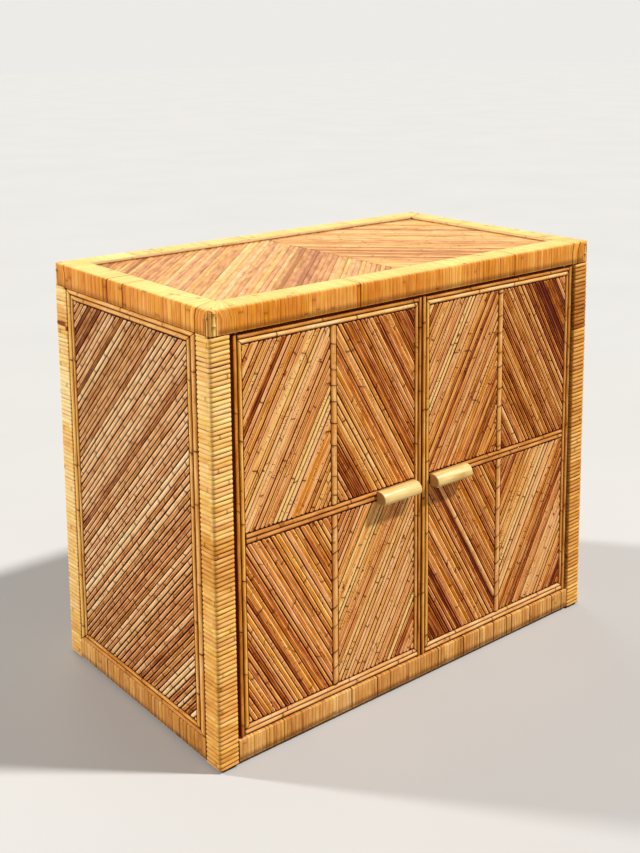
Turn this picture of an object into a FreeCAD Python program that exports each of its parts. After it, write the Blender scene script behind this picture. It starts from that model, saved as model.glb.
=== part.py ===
"""Record cabinet in split reed and rattan peel: two pivot-hung doors on a wrapped post-and-rail frame.

Millimetres. X runs to the right, Y to the back and Z up. The origin is on the floor, at the middle of the
whole cabinet with its handles. The left half is modelled and its mirror image makes the right half.
"""
import FreeCAD, Part
import math
import os
import re
import Sketcher

V = FreeCAD.Vector
HOLE_SIDES = 12
SCREW_SIDES = 6
NAIL_SIDES = 4
GLIDE_SIDES = 16
TOUCHING = 0.01          # places nearer than this are the same place
FIRST_GUESS = 100        # size of an outline before its constraints draw it true

# Driving dimensions: alias, value, what it measures.
SIZES = [
    ("width", 897, "over the posts"),
    ("depth", 507, "front of the posts to their back"),
    ("height", 762, "floor to the top of the frame"),
    ("post_wide", 41, "post, across the front"),
    ("post_deep", 41, "front post, front to back"),
    ("post_deep_rear", 45, "rear post, front to back"),
    ("arris", 7, "rounded outer corner of posts and top frame"),
    ("eased", 2, "other edges of posts and rails"),
    ("ring_high", 42, "top frame"),
    ("ring_front", 50, "top frame, front and rear rails on plan"),
    ("ring_side", 47, "top frame, side rails on plan"),
    ("ring_bevel", 4, "bevelled top edge of the top frame"),
    ("glide_high", 5, "glide under each post"),
    ("glide_round", 9, "radius of a glide"),
    ("nail_round", 1.3, "half the width of a glide's square nail, corner to corner"),
    ("nail_long", 14, "glide's nail in the post"),
    ("rail_low", 6, "underside of the bottom rails"),
    ("rail_top", 43.5, "top of the bottom rails and the cabinet floor"),
    ("rail_back", 1, "bottom rails lie this far inside the post faces"),
    ("rail_front_deep", 29, "front bottom rail"),
    ("rail_side_deep", 22, "side bottom rails"),
    ("rail_rear_deep", 19, "rear bottom rail"),
    ("ply_side", 12, "side boards"),
    ("ply_top", 12, "top board"),
    ("ply_floor", 12, "floor board"),
    ("ply_back", 9, "back board"),
    ("ply_shelf", 18, "shelf"),
    ("ply_divider", 15, "dividers"),
    ("ply_door", 13, "door boards"),
    ("cleat", 16, "square cleats under boards"),
    ("back_inset", 6, "back board inside the rear posts"),
    ("side_inset", 5.5, "side board inside the post faces"),
    ("door_inset", 8.5, "door board inside the post faces"),
    ("top_inset", 9.7, "top board below the top of the frame"),
    ("shelf_top", 390, "top of the shelf"),
    ("inner_front", 31, "front edge of shelf and dividers behind the post faces"),
    ("reed_rise", 3.2, "height of a split reed"),
    ("reed_shoulder", 0.25, "part of a reed's width on each sloping side"),
    ("reed_web", 0.5, "glue line and veneer under the reeds"),
    ("reed_door", 8.2, "reed width on the doors"),
    ("reed_side", 8.8, "reed width on the sides"),
    ("reed_top", 9.3, "reed width on the top"),
    ("lean_door", 60, "degrees from level"),
    ("lean_side", 45, "degrees from level"),
    ("lean_top", 45, "degrees from the front edge"),
    ("bead_high", 5, "beads on the doors"),
    ("bead_hinge", 11, "outer bead of a door beside its hinges"),
    ("bead_meet", 8.5, "every other bead round a door, and the level ones across it"),
    ("bead_stile", 14, "bead down the middle of a door"),
    ("bead_side_high", 4.5, "beads on the sides"),
    ("bead_side_outer", 15, "outer upright bead on a side"),
    ("bead_side_inner", 11, "inner upright bead on a side"),
    ("bead_side_level", 9, "level beads on a side"),
    ("bead_edge", 1.5, "straight edge of a bead before its arch"),
    ("bead_facets", 6, "flats round a bead's arch"),
    ("cross_bead", 380, "middle of the level beads across a door"),
    ("gap_side", 3, "door to post"),
    ("gap_top", 4.5, "door to top frame"),
    ("gap_low", 2.5, "door to bottom rail"),
    ("gap_meet", 2, "door to door"),
    ("pin_in", 14, "pivot from the hinge edge of the door"),
    ("pin_back", 14.5, "pivot behind the post faces"),
    ("pin_round", 2.5, "radius of a pivot pin"),
    ("pin_long", 10.5, "pin below its leaf"),
    ("pin_free", 0.15, "clearance round a pin, at the corners of its hole"),
    ("pin_clear", 3.5, "radius of the hole in the door board round a pin"),
    ("leaf_long", 52, "hinge leaf"),
    ("leaf_wide", 10, "hinge leaf"),
    ("leaf_thick", 2.5, "hinge leaf"),
    ("leaf_end", 8, "end of a leaf from the hinge edge of the door"),
    ("leaf_corner", 3, "clipped corners of a leaf"),
    ("washer_round", 6, "radius of a pivot washer"),
    ("washer_free", 0.15, "play between a washer and the door's leaf"),
    ("handle_long", 88, "handle"),
    ("handle_high", 23, "handle"),
    ("handle_deep", 22, "handle, off the beads"),
    ("handle_end", 20, "handle's inner end from the middle of the cabinet"),
    ("handle_mid", 377, "middle of a handle"),
    ("handle_round", 14, "radius of a handle's upper long edge"),
    ("handle_round_low", 8, "radius of a handle's lower long edge"),
    ("handle_soft", 1.5, "bevel round a handle's ends"),
    ("handle_screws", 50, "between a handle's two screws"),
    ("handle_bite", 14, "screw inside the handle"),
    ("screw_round", 2, "radius of a screw's shank"),
    ("screw_head", 4, "radius of a screw's head"),
    ("screw_head_high", 2, "height of a pan head"),
    ("leaf_screw", 1.6, "radius of a hinge screw's shank"),
    ("leaf_screw_head", 3.2, "radius of a hinge screw's head"),
    ("leaf_screw_sunk", 1.4, "height of a hinge screw's head"),
    ("leaf_screw_long", 16, "hinge screw"),
    ("leaf_screw_first", 18, "first hinge screw from the pivot"),
    ("leaf_screw_next", 16, "between hinge screws"),
    ("back_screw_long", 26, "screw through the back board"),
    ("back_screw_inner", 163, "inner screws of the shelf line, off the middle"),
    ("back_screw_outer", 346, "outer screws of the shelf line, off the middle"),
    ("back_screw_low", 87, "lower screw of a divider, above the board it stands on"),
    ("back_screw_high", 243, "upper screw of a divider, above the board it stands on"),
    ("catch_long", 46, "magnetic catch"),
    ("catch_deep", 17, "magnetic catch"),
    ("catch_high", 14, "magnetic catch"),
    ("catch_back", 24, "catch behind the post faces"),
    ("catch_end", 14, "catch's inner end from the middle of the cabinet"),
    ("pole_deep", 1.1, "steel poles in front of the catch"),
    ("pole_thick", 1.6, "steel poles"),
    ("pole_first", 3, "lower pole above the underside of its catch"),
    ("pole_next", 4.5, "between the two poles of a catch"),
    ("strike_long", 40, "strike plate"),
    ("strike_high", 9, "strike plate"),
    ("strike_thick", 1, "strike plate"),
]

# Places used by many pieces, as formulas in the names above.
LEFT = "-width/2"
FRONT = "(handle_deep + bead_high - door_inset - depth)/2"
BACK = "(handle_deep + bead_high - door_inset + depth)/2"
RING_LOW = "(height - ring_high)"
DOOR_LEFT = "(-width/2 + post_wide + gap_side)"
DOOR_LOW = "(rail_top + gap_low)"
DOOR_TOP = "(height - ring_high - gap_top)"
DOOR_WIDE = "(width/2 - post_wide - gap_side - gap_meet/2)"
DOOR_FACE = "(" + FRONT + " + door_inset)"
DOOR_REAR = "(" + FRONT + " + door_inset + ply_door)"
PIN_X = "(" + DOOR_LEFT + " + pin_in)"
PIN_Y = "(" + FRONT + " + pin_back)"
TOP_BOARD = "(height - top_inset)"
BOARD_FACE = "(" + BACK + " - back_inset - ply_back)"

doc = FreeCAD.newDocument("record_cabinet")
sheet = doc.addObject("Spreadsheet::Sheet", "Sizes")
for row, (alias, value, meaning) in enumerate(SIZES, start=1):
    sheet.set("A%d" % row, alias)
    sheet.set("B%d" % row, str(value))
    sheet.set("C%d" % row, meaning)
    sheet.setAlias("B%d" % row, alias)
doc.recompute()
ALIASES = {alias for alias, value, meaning in SIZES}
kept = []


def formula(text):
    """Write a formula in plain names as one that points at the sheet."""
    return re.sub(r"[a-z][a-z_]*", lambda m: "Sizes." + m[0] if m[0] in ALIASES else m[0], text)


def bind(thing, prop, text):
    thing.setExpression(prop, formula(text))


def size(alias):
    return float(sheet.get(alias))


def place(thing, x="0", y="0", z="0"):
    """Put a sub-part's own origin at a point given by formulas."""
    for axis, text in zip("xyz", (x, y, z)):
        bind(thing, "Placement.Base." + axis, text)
    return thing


def keep(thing, label):
    thing.Label = label
    kept.append(thing)
    return thing


# Sketches and PartDesign features -------------------------------------------------------------------

def new_body(name):
    return doc.addObject("PartDesign::Body", name)


def new_sketch(body, name, role="XY_Plane", lift=None):
    """A sketch on one of the body's own planes, lifted off it by a formula where one is given."""
    sketch = body.newObject("Sketcher::SketchObject", name)
    plane = [p for p in body.Origin.OriginFeatures if p.Role == role][0]
    sketch.AttachmentSupport = (plane, [""])
    sketch.MapMode = "FlatFace"
    if lift:
        bind(sketch, "AttachmentOffset.Base.z", lift)
    return sketch


def tie(sketch, edge, end, axis, text):
    """Hold a point of the sketch at a distance from its origin that a formula gives."""
    index = sketch.addConstraint(Sketcher.Constraint("Distance" + axis, -1, 1, edge, end, 1.0))
    bind(sketch, "Constraints[%d]" % index, text)


def draw_polygon(sketch, corners):
    """Straight edges through corners, each tied to two formulas."""
    first = sketch.GeometryCount
    count = len(corners)
    for i in range(count):
        turn, turn_on = 2 * math.pi * i / count, 2 * math.pi * (i + 1) / count
        start, end = [V(math.cos(a), math.sin(a), 0) * FIRST_GUESS for a in (turn, turn_on)]
        sketch.addGeometry(Part.LineSegment(start, end), False)
    for i in range(count):
        sketch.addConstraint(Sketcher.Constraint("Coincident", first + i, 2, first + (i + 1) % count, 1))
    for i, (u, v) in enumerate(corners):
        tie(sketch, first + i, 1, "X", u)
        tie(sketch, first + i, 1, "Y", v)


def draw_rectangle(sketch, wide, high):
    draw_polygon(sketch, [("0", "0"), (wide, "0"), (wide, high), ("0", high)])


def draw_circle(sketch, radius):
    """A circle about the sketch's origin."""
    edge = sketch.addGeometry(Part.Circle(V(1, 1, 0), V(0, 0, 1), 1), False)
    tie(sketch, edge, 3, "X", "0")
    tie(sketch, edge, 3, "Y", "0")
    index = sketch.addConstraint(Sketcher.Constraint("Radius", edge, 1.0))
    bind(sketch, "Constraints[%d]" % index, radius)


def draw_flats(sketch, radius):
    """A round hole or washer about the sketch's origin, in flats so that it stays light."""
    turns = [2 * math.pi * i / HOLE_SIDES for i in range(HOLE_SIDES)]
    draw_polygon(sketch, [("(%s)*%.6f" % (radius, math.cos(turn)), "(%s)*%.6f" % (radius, math.sin(turn)))
                          for turn in turns])


def pad(body, sketch, length, downwards=False):
    feature = body.newObject("PartDesign::Pad", sketch.Name + "_pad")
    feature.Profile = sketch
    feature.Reversed = downwards
    bind(feature, "Length", length)
    body.Tip = feature
    sketch.Visibility = False
    return feature


def dress(body, kind, name, radius, chosen):
    """Fillet or Chamfer the edges of the body's tip that the test chosen picks by their middle points."""
    doc.recompute()
    base = body.Tip
    names = []
    for number, edge in enumerate(base.Shape.Edges, start=1):
        middle = edge.valueAt((edge.FirstParameter + edge.LastParameter) / 2)
        direction = edge.tangentAt(edge.FirstParameter)
        if chosen(middle, direction):
            names.append("Edge%d" % number)
    feature = body.newObject("PartDesign::" + kind, body.Name + "_" + name)
    feature.Base = (base, names)
    bind(feature, "Radius" if kind == "Fillet" else "Size", radius)
    body.Tip = feature
    return feature


def near(a, b):
    return abs(a - b) < TOUCHING


def board(name, wide, deep, thick, corner):
    """A plain rectangular board, strip or rail, with its low left front corner at corner."""
    body = new_body(name)
    sketch = new_sketch(body, name + "_plan")
    draw_rectangle(sketch, wide, deep)
    pad(body, sketch, thick)
    return place(body, *corner)


def plan_board(name, corners, thick, z):
    """A board cut to a plan outline given in cabinet coordinates."""
    body = new_body(name)
    sketch = new_sketch(body, name + "_plan")
    draw_polygon(sketch, corners)
    pad(body, sketch, thick)
    return place(body, z=z)


def group(name, pieces):
    """Separate solids that share one node."""
    thing = doc.addObject("Part::Compound", name)
    thing.Links = pieces
    return thing


def cut_for(name, base, *tools):
    """Let fittings into a wooden piece: it loses exactly the space that they fill."""
    for number, tool in enumerate(tools, start=1):
        cut = doc.addObject("Part::Cut", "%s_cut%d" % (name, number))
        cut.Base = base
        cut.Tool = tool
        base = cut
    return base


def twin(name, source):
    """The mirror image of a left-hand piece, on the right."""
    thing = doc.addObject("Part::Mirroring", name)
    thing.Source = source
    thing.Normal = V(1, 0, 0)
    thing.Base = V(0, 0, 0)
    return thing


def pair(name, pieces):
    """Left-hand fittings and their twins, as one group."""
    left = group(name + "_left_half", pieces)
    return group(name, [left, twin(name + "_right_half", left)])


# Turned and small fittings --------------------------------------------------------------------------

def rod(name, sides, radius, long, x, y, z, pitch=0.0):
    """A flat-sided rod from x, y, z along +Z, tipped about the X axis by pitch degrees."""
    rod = doc.addObject("Part::Prism", name)
    rod.Polygon = sides
    bind(rod, "Circumradius", radius)
    bind(rod, "Height", long)
    rod.Placement.Rotation = FreeCAD.Rotation(V(1, 0, 0), pitch)
    return place(rod, x, y, z)


def fused(name, pieces):
    thing = doc.addObject("Part::MultiFuse", name)
    thing.Shapes = pieces
    return thing


def pan_screw(name, x, y, z, shank):
    """A pan-head screw driven towards -Y; x, y, z is the middle of the seat under its head."""
    head = rod(name + "_head", SCREW_SIDES, "screw_head", "screw_head_high", x, y, z, -90)
    return fused(name, [head, rod(name + "_shank", SCREW_SIDES, "screw_round", shank, x, y, z, 90)])


def leaf_screw(name, x, z, upwards):
    """A hinge screw with its head sunk flush in the outer face of a leaf at height z."""
    pitch = 0 if upwards else 180
    head = rod(name + "_head", SCREW_SIDES, "leaf_screw_head", "leaf_screw_sunk", x, PIN_Y, z, pitch)
    shank = rod(name + "_shank", SCREW_SIDES, "leaf_screw", "leaf_screw_long", x, PIN_Y, z, pitch)
    return fused(name, [head, shank])


def leaf(name, z, pin=None):
    """A hinge leaf with its low face at z: pin gives the carcass leaf's pin, else it has the pin's hole."""
    body = new_body(name)
    sketch = new_sketch(body, name + "_plan")
    half = "leaf_wide/2"
    near_end, far_end = "(leaf_end - pin_in)", "(leaf_end - pin_in + leaf_long)"
    draw_polygon(sketch, [(near_end, "-" + half), (far_end, "-" + half), (far_end, half), (near_end, half)])
    if not pin:
        draw_flats(sketch, "pin_round + pin_free")
    pad(body, sketch, "leaf_thick")
    dress(body, "Chamfer", "corners", "leaf_corner",
          lambda m, d: near(abs(d.z), 1) and near(abs(m.y), size("leaf_wide") / 2))
    if pin:
        root = new_sketch(body, name + "_pin", lift="leaf_thick" if pin == "up" else None)
        draw_circle(root, "pin_round")
        pad(body, root, "pin_long", downwards=(pin == "down"))
    return place(body, PIN_X, PIN_Y, z)


def ring(name, outer, inner, thick, x, y, z):
    """A flat washer standing on z."""
    body = new_body(name)
    sketch = new_sketch(body, name + "_plan")
    draw_flats(sketch, outer)
    draw_flats(sketch, inner)
    pad(body, sketch, thick)
    return place(body, x, y, z)


# Laid work: reeds and beads -------------------------------------------------------------------------
# Both are laid on a face with its own axes: u across, v up and w outwards from the board.

def onto_door(shape):
    """u is X, v is Z and w points to the front."""
    shape.transformShape(FreeCAD.Matrix(1, 0, 0, 0, 0, 0, -1, door_face_y, 0, 1, 0, 0, 0, 0, 0, 1))
    return shape


def onto_left_side(shape):
    """u runs from the back to the front, v is Z and w points to the left."""
    side_face_x = -size("width") / 2 + size("side_inset")
    shape.transformShape(FreeCAD.Matrix(0, 0, -1, side_face_x, -1, 0, 0, 0, 0, 1, 0, 0, 0, 0, 0, 1))
    return shape


def onto_top(shape):
    shape.translate(V(0, 0, size("height") - size("top_inset")))
    return shape


def laid(label, shape):
    thing = doc.addObject("Part::Feature", label)
    thing.Shape = shape
    return keep(thing, label)


def reed_mat(field, lean, pitch):
    """Split reeds side by side, rising at lean degrees and trimmed to field = (u0, v0, u1, v1)."""
    u0, v0, u1, v1 = field
    along = V(math.cos(math.radians(lean)), math.sin(math.radians(lean)), 0)
    across = V(-along.y, along.x, 0)
    reach = math.hypot(u1 - u0, v1 - v0) / 2 + pitch
    start = V((u0 + u1) / 2, (v0 + v1) / 2, 0) - along * reach
    web, crown = size("reed_web"), size("reed_web") + size("reed_rise")
    shoulder = size("reed_shoulder") * pitch
    half_count = math.ceil(reach / pitch)
    section = [start - across * (half_count * pitch)]
    for number in range(-half_count, half_count):
        edge = number * pitch
        section.append(start + across * edge + V(0, 0, web))
        section.append(start + across * (edge + shoulder) + V(0, 0, crown))
        section.append(start + across * (edge + pitch - shoulder) + V(0, 0, crown))
    section.append(start + across * (half_count * pitch) + V(0, 0, web))
    section.append(start + across * (half_count * pitch))
    section.append(section[0])
    sheet_of_reeds = Part.Face(Part.makePolygon(section)).extrude(along * (2 * reach))
    return sheet_of_reeds.common(Part.makeBox(u1 - u0, v1 - v0, crown, V(u0, v0, 0)))


def bead(start, end, across, wide, high, first_mitre, last_mitre):
    """A half-round bead from start to end along its outer edge, wide towards across.

    The mitres say how far its inner edge stops short at each end.
    """
    along = (end - start).normalize()
    edge, facets = size("bead_edge"), int(size("bead_facets"))
    up = V(0, 0, 1)
    outline = [start]
    for turn in [math.pi * i / facets for i in range(facets + 1)]:
        outline.append(start + across * (wide * (1 - math.cos(turn)) / 2)
                       + up * (edge + (high - edge) * math.sin(turn)))
    outline += [start + across * wide, start]
    stick = Part.Face(Part.makePolygon(outline)).extrude(end - start)
    plan = Part.Face(Part.makePolygon([
        start, end, end + across * wide - along * last_mitre, start + across * wide + along * first_mitre,
        start]))
    return stick.common(plan.extrude(up * high))


def square_bead(start, end, across, wide, high):
    """A bead with square ends."""
    return bead(start, end, across, wide, high, 0, 0)


def bead_frame(outside, wides, high):
    """Four mitred beads inside outside = (u0, v0, u1, v1); wides are for the low, right, top, left bead."""
    u0, v0, u1, v1 = outside
    corners = [V(u0, v0, 0), V(u1, v0, 0), V(u1, v1, 0), V(u0, v1, 0)]
    inward = [V(0, 1, 0), V(-1, 0, 0), V(0, -1, 0), V(1, 0, 0)]
    beads = []
    for i in range(4):
        following = (i + 1) % 4
        beads.append(bead(corners[i], corners[following], inward[i], wides[i], high,
                          wides[i - 1], wides[following]))
    return Part.makeCompound(beads)


def butted_frame(outside, wides, high):
    """Uprights from end to end, level beads between them; wides are for the low, right, top, left bead."""
    u0, v0, u1, v1 = outside
    low, right, top, left = wides
    between_left, between_right = u0 + left, u1 - right
    return Part.makeCompound([
        square_bead(V(u1, v0, 0), V(u1, v1, 0), V(-1, 0, 0), right, high),
        square_bead(V(u0, v1, 0), V(u0, v0, 0), V(1, 0, 0), left, high),
        square_bead(V(between_left, v0, 0), V(between_right, v0, 0), V(0, 1, 0), low, high),
        square_bead(V(between_right, v1, 0), V(between_left, v1, 0), V(0, -1, 0), top, high)])


def shrunk(outside, wides):
    """The opening left inside a bead frame."""
    u0, v0, u1, v1 = outside
    low, right, top, left = wides
    return (u0 + left, v0 + low, u1 - right, v1 - top)


# Frame rails and posts ------------------------------------------------------------------------------

def eased_edges(body, chosen):
    return dress(body, "Chamfer", "eased", "eased", chosen)


def post(name, deep, y, outer_v):
    """A post with its outer arris well rounded and its other uprights eased; outer_v is 0 or its depth."""
    body = board(name, "post_wide", deep, RING_LOW + " - glide_high", (LEFT, y, "glide_high"))
    dress(body, "Fillet", "arris", "arris",
          lambda m, d: near(abs(d.z), 1) and near(m.x, 0) and near(m.y, outer_v))
    eased_edges(body, lambda m, d: near(abs(d.z), 1) and near(m.x, size("post_wide")))
    return body


def long_rail(name, long, deep, corner, outer_v):
    """A bottom rail along X with the edges of its outer face eased."""
    body = board(name, long, deep, "rail_top - rail_low", corner)
    eased_edges(body, lambda m, d: near(abs(d.x), 1) and near(m.y, outer_v))
    return body


def ring_envelope():
    """The outside of the top frame: rounded corners and a bevelled top edge."""
    body = board("ring_envelope", "width", "depth", "ring_high", (LEFT, FRONT, RING_LOW))
    dress(body, "Fillet", "corners", "arris", lambda m, d: near(abs(d.z), 1))
    dress(body, "Chamfer", "top", "ring_bevel", lambda m, d: near(m.z, size("ring_high")))
    return body


def ring_rail(name, corners, envelope):
    """One mitred rail of the top frame, trimmed to the frame's outside."""
    blank = plan_board(name + "_blank", corners, "ring_high", RING_LOW)
    rail = doc.addObject("Part::Common", name + "_rail")
    rail.Base = envelope
    rail.Tool = blank
    return rail


# Fittings that are let into the wood ----------------------------------------------------------------

def glide(name, y):
    """A round glide with its nail, under the middle of a left-hand post."""
    x = LEFT + " + post_wide/2"
    disc = rod(name + "_disc", GLIDE_SIDES, "glide_round", "glide_high", x, y, "0")
    nail = rod(name + "_nail", NAIL_SIDES, "nail_round", "nail_long", x, y, "glide_high")
    return fused(name, [disc, nail])


frame_leaves, door_leaves, frame_screws, door_screws, bores = [], [], [], [], []
for end, pin, frame_low, frame_face, door_low, door_face, bore_low in (
        ("top", "down", RING_LOW, RING_LOW, DOOR_TOP + " - leaf_thick", DOOR_TOP, DOOR_TOP + " - pin_long"),
        ("foot", "up", "rail_top - leaf_thick", "rail_top", DOOR_LOW, DOOR_LOW, DOOR_LOW)):
    at_top = end == "top"
    frame_leaves.append(leaf("frame_leaf_" + end, frame_low, pin))
    door_leaves.append(leaf("door_leaf_" + end, door_low))
    for number in (0, 1):
        x = PIN_X + " + leaf_screw_first + %d*leaf_screw_next" % number
        frame_screws.append(leaf_screw("frame_screw_%s%d" % (end, number), x, frame_face, at_top))
        door_screws.append(leaf_screw("door_screw_%s%d" % (end, number), x, door_face, not at_top))
    bores.append(rod("pin_bore_" + end, HOLE_SIDES, "pin_clear", "pin_long", PIN_X, PIN_Y, bore_low))

frame_leaf_set = pair("frame_leaf_set", frame_leaves)
hinge_screws = keep(pair("hinge_screws", frame_screws), "hinge_screws")
keep(cut_for("hinge_leaves", frame_leaf_set, hinge_screws), "hinge_leaves")
washer = ring("washer_foot", "washer_round", "pin_round + pin_free", "gap_low - washer_free",
              PIN_X, PIN_Y, "rail_top")
keep(pair("hinge_washers", [washer]), "hinge_washers")
glides = keep(pair("glides", [glide("glide_front", FRONT + " + post_deep/2"),
                              glide("glide_rear", BACK + " - post_deep_rear/2")]), "glides")

# Posts and bottom rails -----------------------------------------------------------------------------

front_post = cut_for("post_front_left", post("post_front", "post_deep", FRONT, 0), glides)
rear_post = cut_for("post_rear_left", post("post_rear", "post_deep_rear", BACK + " - post_deep_rear",
                                           size("post_deep_rear")), glides)
for name, source in (("post_front", front_post), ("post_rear", rear_post)):
    keep(source, name + "_left")
    keep(twin(name + "_right", source), name + "_right")

between_posts = "width - 2*post_wide"
low_front = long_rail("low_rail_front", between_posts, "rail_front_deep",
                      (LEFT + " + post_wide", FRONT + " + rail_back", "rail_low"), 0)
keep(cut_for("bottom_rail_front", low_front, frame_leaf_set, hinge_screws), "bottom_rail_front")
keep(long_rail("bottom_rail_rear", between_posts, "rail_rear_deep",
               (LEFT + " + post_wide", BACK + " - rail_back - rail_rear_deep", "rail_low"),
               size("rail_rear_deep")), "bottom_rail_rear")
side_rail = board("bottom_rail_left", "rail_side_deep", "depth - post_deep - post_deep_rear",
                  "rail_top - rail_low", (LEFT + " + rail_back", FRONT + " + post_deep", "rail_low"))
eased_edges(side_rail, lambda m, d: near(abs(d.y), 1) and near(m.x, 0))
keep(side_rail, "bottom_rail_left")
keep(twin("bottom_rail_right", side_rail), "bottom_rail_right")

# Top frame ------------------------------------------------------------------------------------------

envelope = ring_envelope()
RIGHT = "width/2"
RING_FRONT_IN, RING_REAR_IN = FRONT + " + ring_front", BACK + " - ring_front"
RING_LEFT_IN, RING_RIGHT_IN = "ring_side - width/2", "width/2 - ring_side"
ring_front = ring_rail("ring_front", [(LEFT, FRONT), (RIGHT, FRONT), (RING_RIGHT_IN, RING_FRONT_IN),
                                      (RING_LEFT_IN, RING_FRONT_IN)], envelope)
ring_rear = ring_rail("ring_rear", [(LEFT, BACK), (RING_LEFT_IN, RING_REAR_IN), (RING_RIGHT_IN, RING_REAR_IN),
                                    (RIGHT, BACK)], envelope)
ring_left = ring_rail("ring_left", [(LEFT, FRONT), (RING_LEFT_IN, RING_FRONT_IN),
                                    (RING_LEFT_IN, RING_REAR_IN), (LEFT, BACK)], envelope)
keep(cut_for("top_rail_front", ring_front, frame_leaf_set, hinge_screws), "top_rail_front")
keep(ring_rear, "top_rail_rear")
keep(ring_left, "top_rail_left")
keep(twin("top_rail_right", ring_left), "top_rail_right")

ring_inside = ("width - 2*ring_side", "depth - 2*ring_front")
keep(board("top_board", *ring_inside, "ply_top", (RING_LEFT_IN, RING_FRONT_IN, TOP_BOARD + " - ply_top")),
     "top_board")
cleat_z = TOP_BOARD + " - ply_top - cleat"
long_cleat = board("top_cleat_front", ring_inside[0], "cleat", "cleat",
                   (RING_LEFT_IN, RING_FRONT_IN, cleat_z))
rear_cleat = board("top_cleat_rear", ring_inside[0], "cleat", "cleat",
                   (RING_LEFT_IN, RING_REAR_IN + " - cleat", cleat_z))
side_cleat = board("top_cleat_side", "cleat", ring_inside[1] + " - 2*cleat", "cleat",
                   (RING_LEFT_IN, RING_FRONT_IN + " + cleat", cleat_z))
keep(group("top_cleats", [long_cleat, rear_cleat, side_cleat, twin("top_cleat_right", side_cleat)]),
     "top_cleats")

# Inside ---------------------------------------------------------------------------------------------

SIDE_IN = "(width/2 - side_inset - ply_side)"
POST_IN = "(width/2 - post_wide)"
SHELF_FRONT = FRONT + " + inner_front"


def notched_board(name, half_wide, front, rear, thick, z):
    """A level board across the cabinet, cut out round the four posts."""
    post_front, post_rear = FRONT + " + post_deep", BACK + " - post_deep_rear"
    return plan_board(name, [
        ("-" + POST_IN, front), (POST_IN, front), (POST_IN, post_front), (half_wide, post_front),
        (half_wide, post_rear), (POST_IN, post_rear), (POST_IN, rear), ("-" + POST_IN, rear),
        ("-" + POST_IN, post_rear), ("-" + half_wide, post_rear), ("-" + half_wide, post_front),
        ("-" + POST_IN, post_front)], thick, z)


def back_screw(name, x, z):
    return pan_screw(name, x, BACK + " - back_inset", z, "back_screw_long")


shelf_middle = "shelf_top - ply_shelf/2"
along_shelf = [back_screw("shelf_screw_" + spot, "-back_screw_" + spot, shelf_middle)
               for spot in ("inner", "outer")]
up_dividers = [back_screw("%s_screw_%s" % (stand, spot), "0", "%s + back_screw_%s" % (stand, spot))
               for stand in ("rail_top", "shelf_top") for spot in ("low", "high")]
back_screws = keep(group("back_screws", [pair("shelf_line", along_shelf)] + up_dividers), "back_screws")

shelf = notched_board("shelf_board", SIDE_IN, SHELF_FRONT, BOARD_FACE, "ply_shelf", "shelf_top - ply_shelf")
keep(cut_for("shelf", shelf, back_screws), "shelf")
keep(notched_board("floor_board", "(width/2 - rail_back - rail_side_deep)",
                   FRONT + " + rail_back + rail_front_deep", BACK + " - rail_back - rail_rear_deep",
                   "ply_floor", "rail_top - ply_floor"), "floor_board")
back = board("back_sheet", between_posts, "ply_back", RING_LOW + " - rail_top",
             ("-" + POST_IN, BOARD_FACE, "rail_top"))
keep(cut_for("back_board", back, back_screws), "back_board")


def divider(name, profile):
    """An upright board on the middle line, cut to a side profile of (Y, Z) corners."""
    body = new_body(name)
    sketch = new_sketch(body, name + "_profile", "YZ_Plane")
    draw_polygon(sketch, profile)
    pad(body, sketch, "ply_divider")
    return place(body, "-ply_divider/2")


SHELF_LOW = "shelf_top - ply_shelf"
lower = divider("divider_low", [(SHELF_FRONT, "rail_top"), (BOARD_FACE, "rail_top"), (BOARD_FACE, SHELF_LOW),
                                (SHELF_FRONT, SHELF_LOW)])
TONGUE_FRONT, TONGUE_REAR = RING_FRONT_IN + " + cleat", RING_REAR_IN + " - cleat"
UNDER_TOP = TOP_BOARD + " - ply_top"
upper = divider("divider_high", [
    (SHELF_FRONT, "shelf_top"), (BOARD_FACE, "shelf_top"), (BOARD_FACE, RING_LOW), (TONGUE_REAR, RING_LOW),
    (TONGUE_REAR, UNDER_TOP), (TONGUE_FRONT, UNDER_TOP), (TONGUE_FRONT, RING_LOW), (SHELF_FRONT, RING_LOW)])
keep(cut_for("divider_lower", lower, back_screws), "divider_lower")
keep(cut_for("divider_upper", upper, back_screws), "divider_upper")

cleat_long = "depth - post_deep - post_deep_rear"
shelf_cleat = board("shelf_cleat", "cleat", cleat_long, "cleat",
                    ("-" + SIDE_IN, FRONT + " + post_deep", SHELF_LOW + " - cleat"))
keep(pair("shelf_cleats", [shelf_cleat]), "shelf_cleats")
floor_cleat_z = "rail_top - ply_floor - cleat"
floor_cleats = [
    board("floor_cleat_front", between_posts, "cleat", "cleat",
          ("-" + POST_IN, FRONT + " + rail_back + rail_front_deep", floor_cleat_z)),
    board("floor_cleat_rear", between_posts, "cleat", "cleat",
          ("-" + POST_IN, BACK + " - rail_back - rail_rear_deep - cleat", floor_cleat_z))]
keep(group("floor_cleats", floor_cleats), "floor_cleats")

catch_x = "-catch_end - catch_long"
catch_z = RING_LOW + " - catch_high"
catch = board("catch_body", "catch_long", "catch_deep", "catch_high",
              (catch_x, FRONT + " + catch_back", catch_z))
eased_edges(catch, lambda m, d: near(abs(d.y), 1) and near(m.z, 0))
keep(pair("catch_housings", [catch]), "catch_housings")
poles = [board("pole_%d" % i, "strike_long", "pole_deep", "pole_thick",
               (catch_x + " + (catch_long - strike_long)/2", FRONT + " + catch_back - pole_deep",
                catch_z + " + pole_first + %d*pole_next - pole_thick/2" % i))
         for i in (0, 1)]
keep(pair("catch_poles", poles), "catch_poles")

# Sides and laid top ---------------------------------------------------------------------------------

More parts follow.
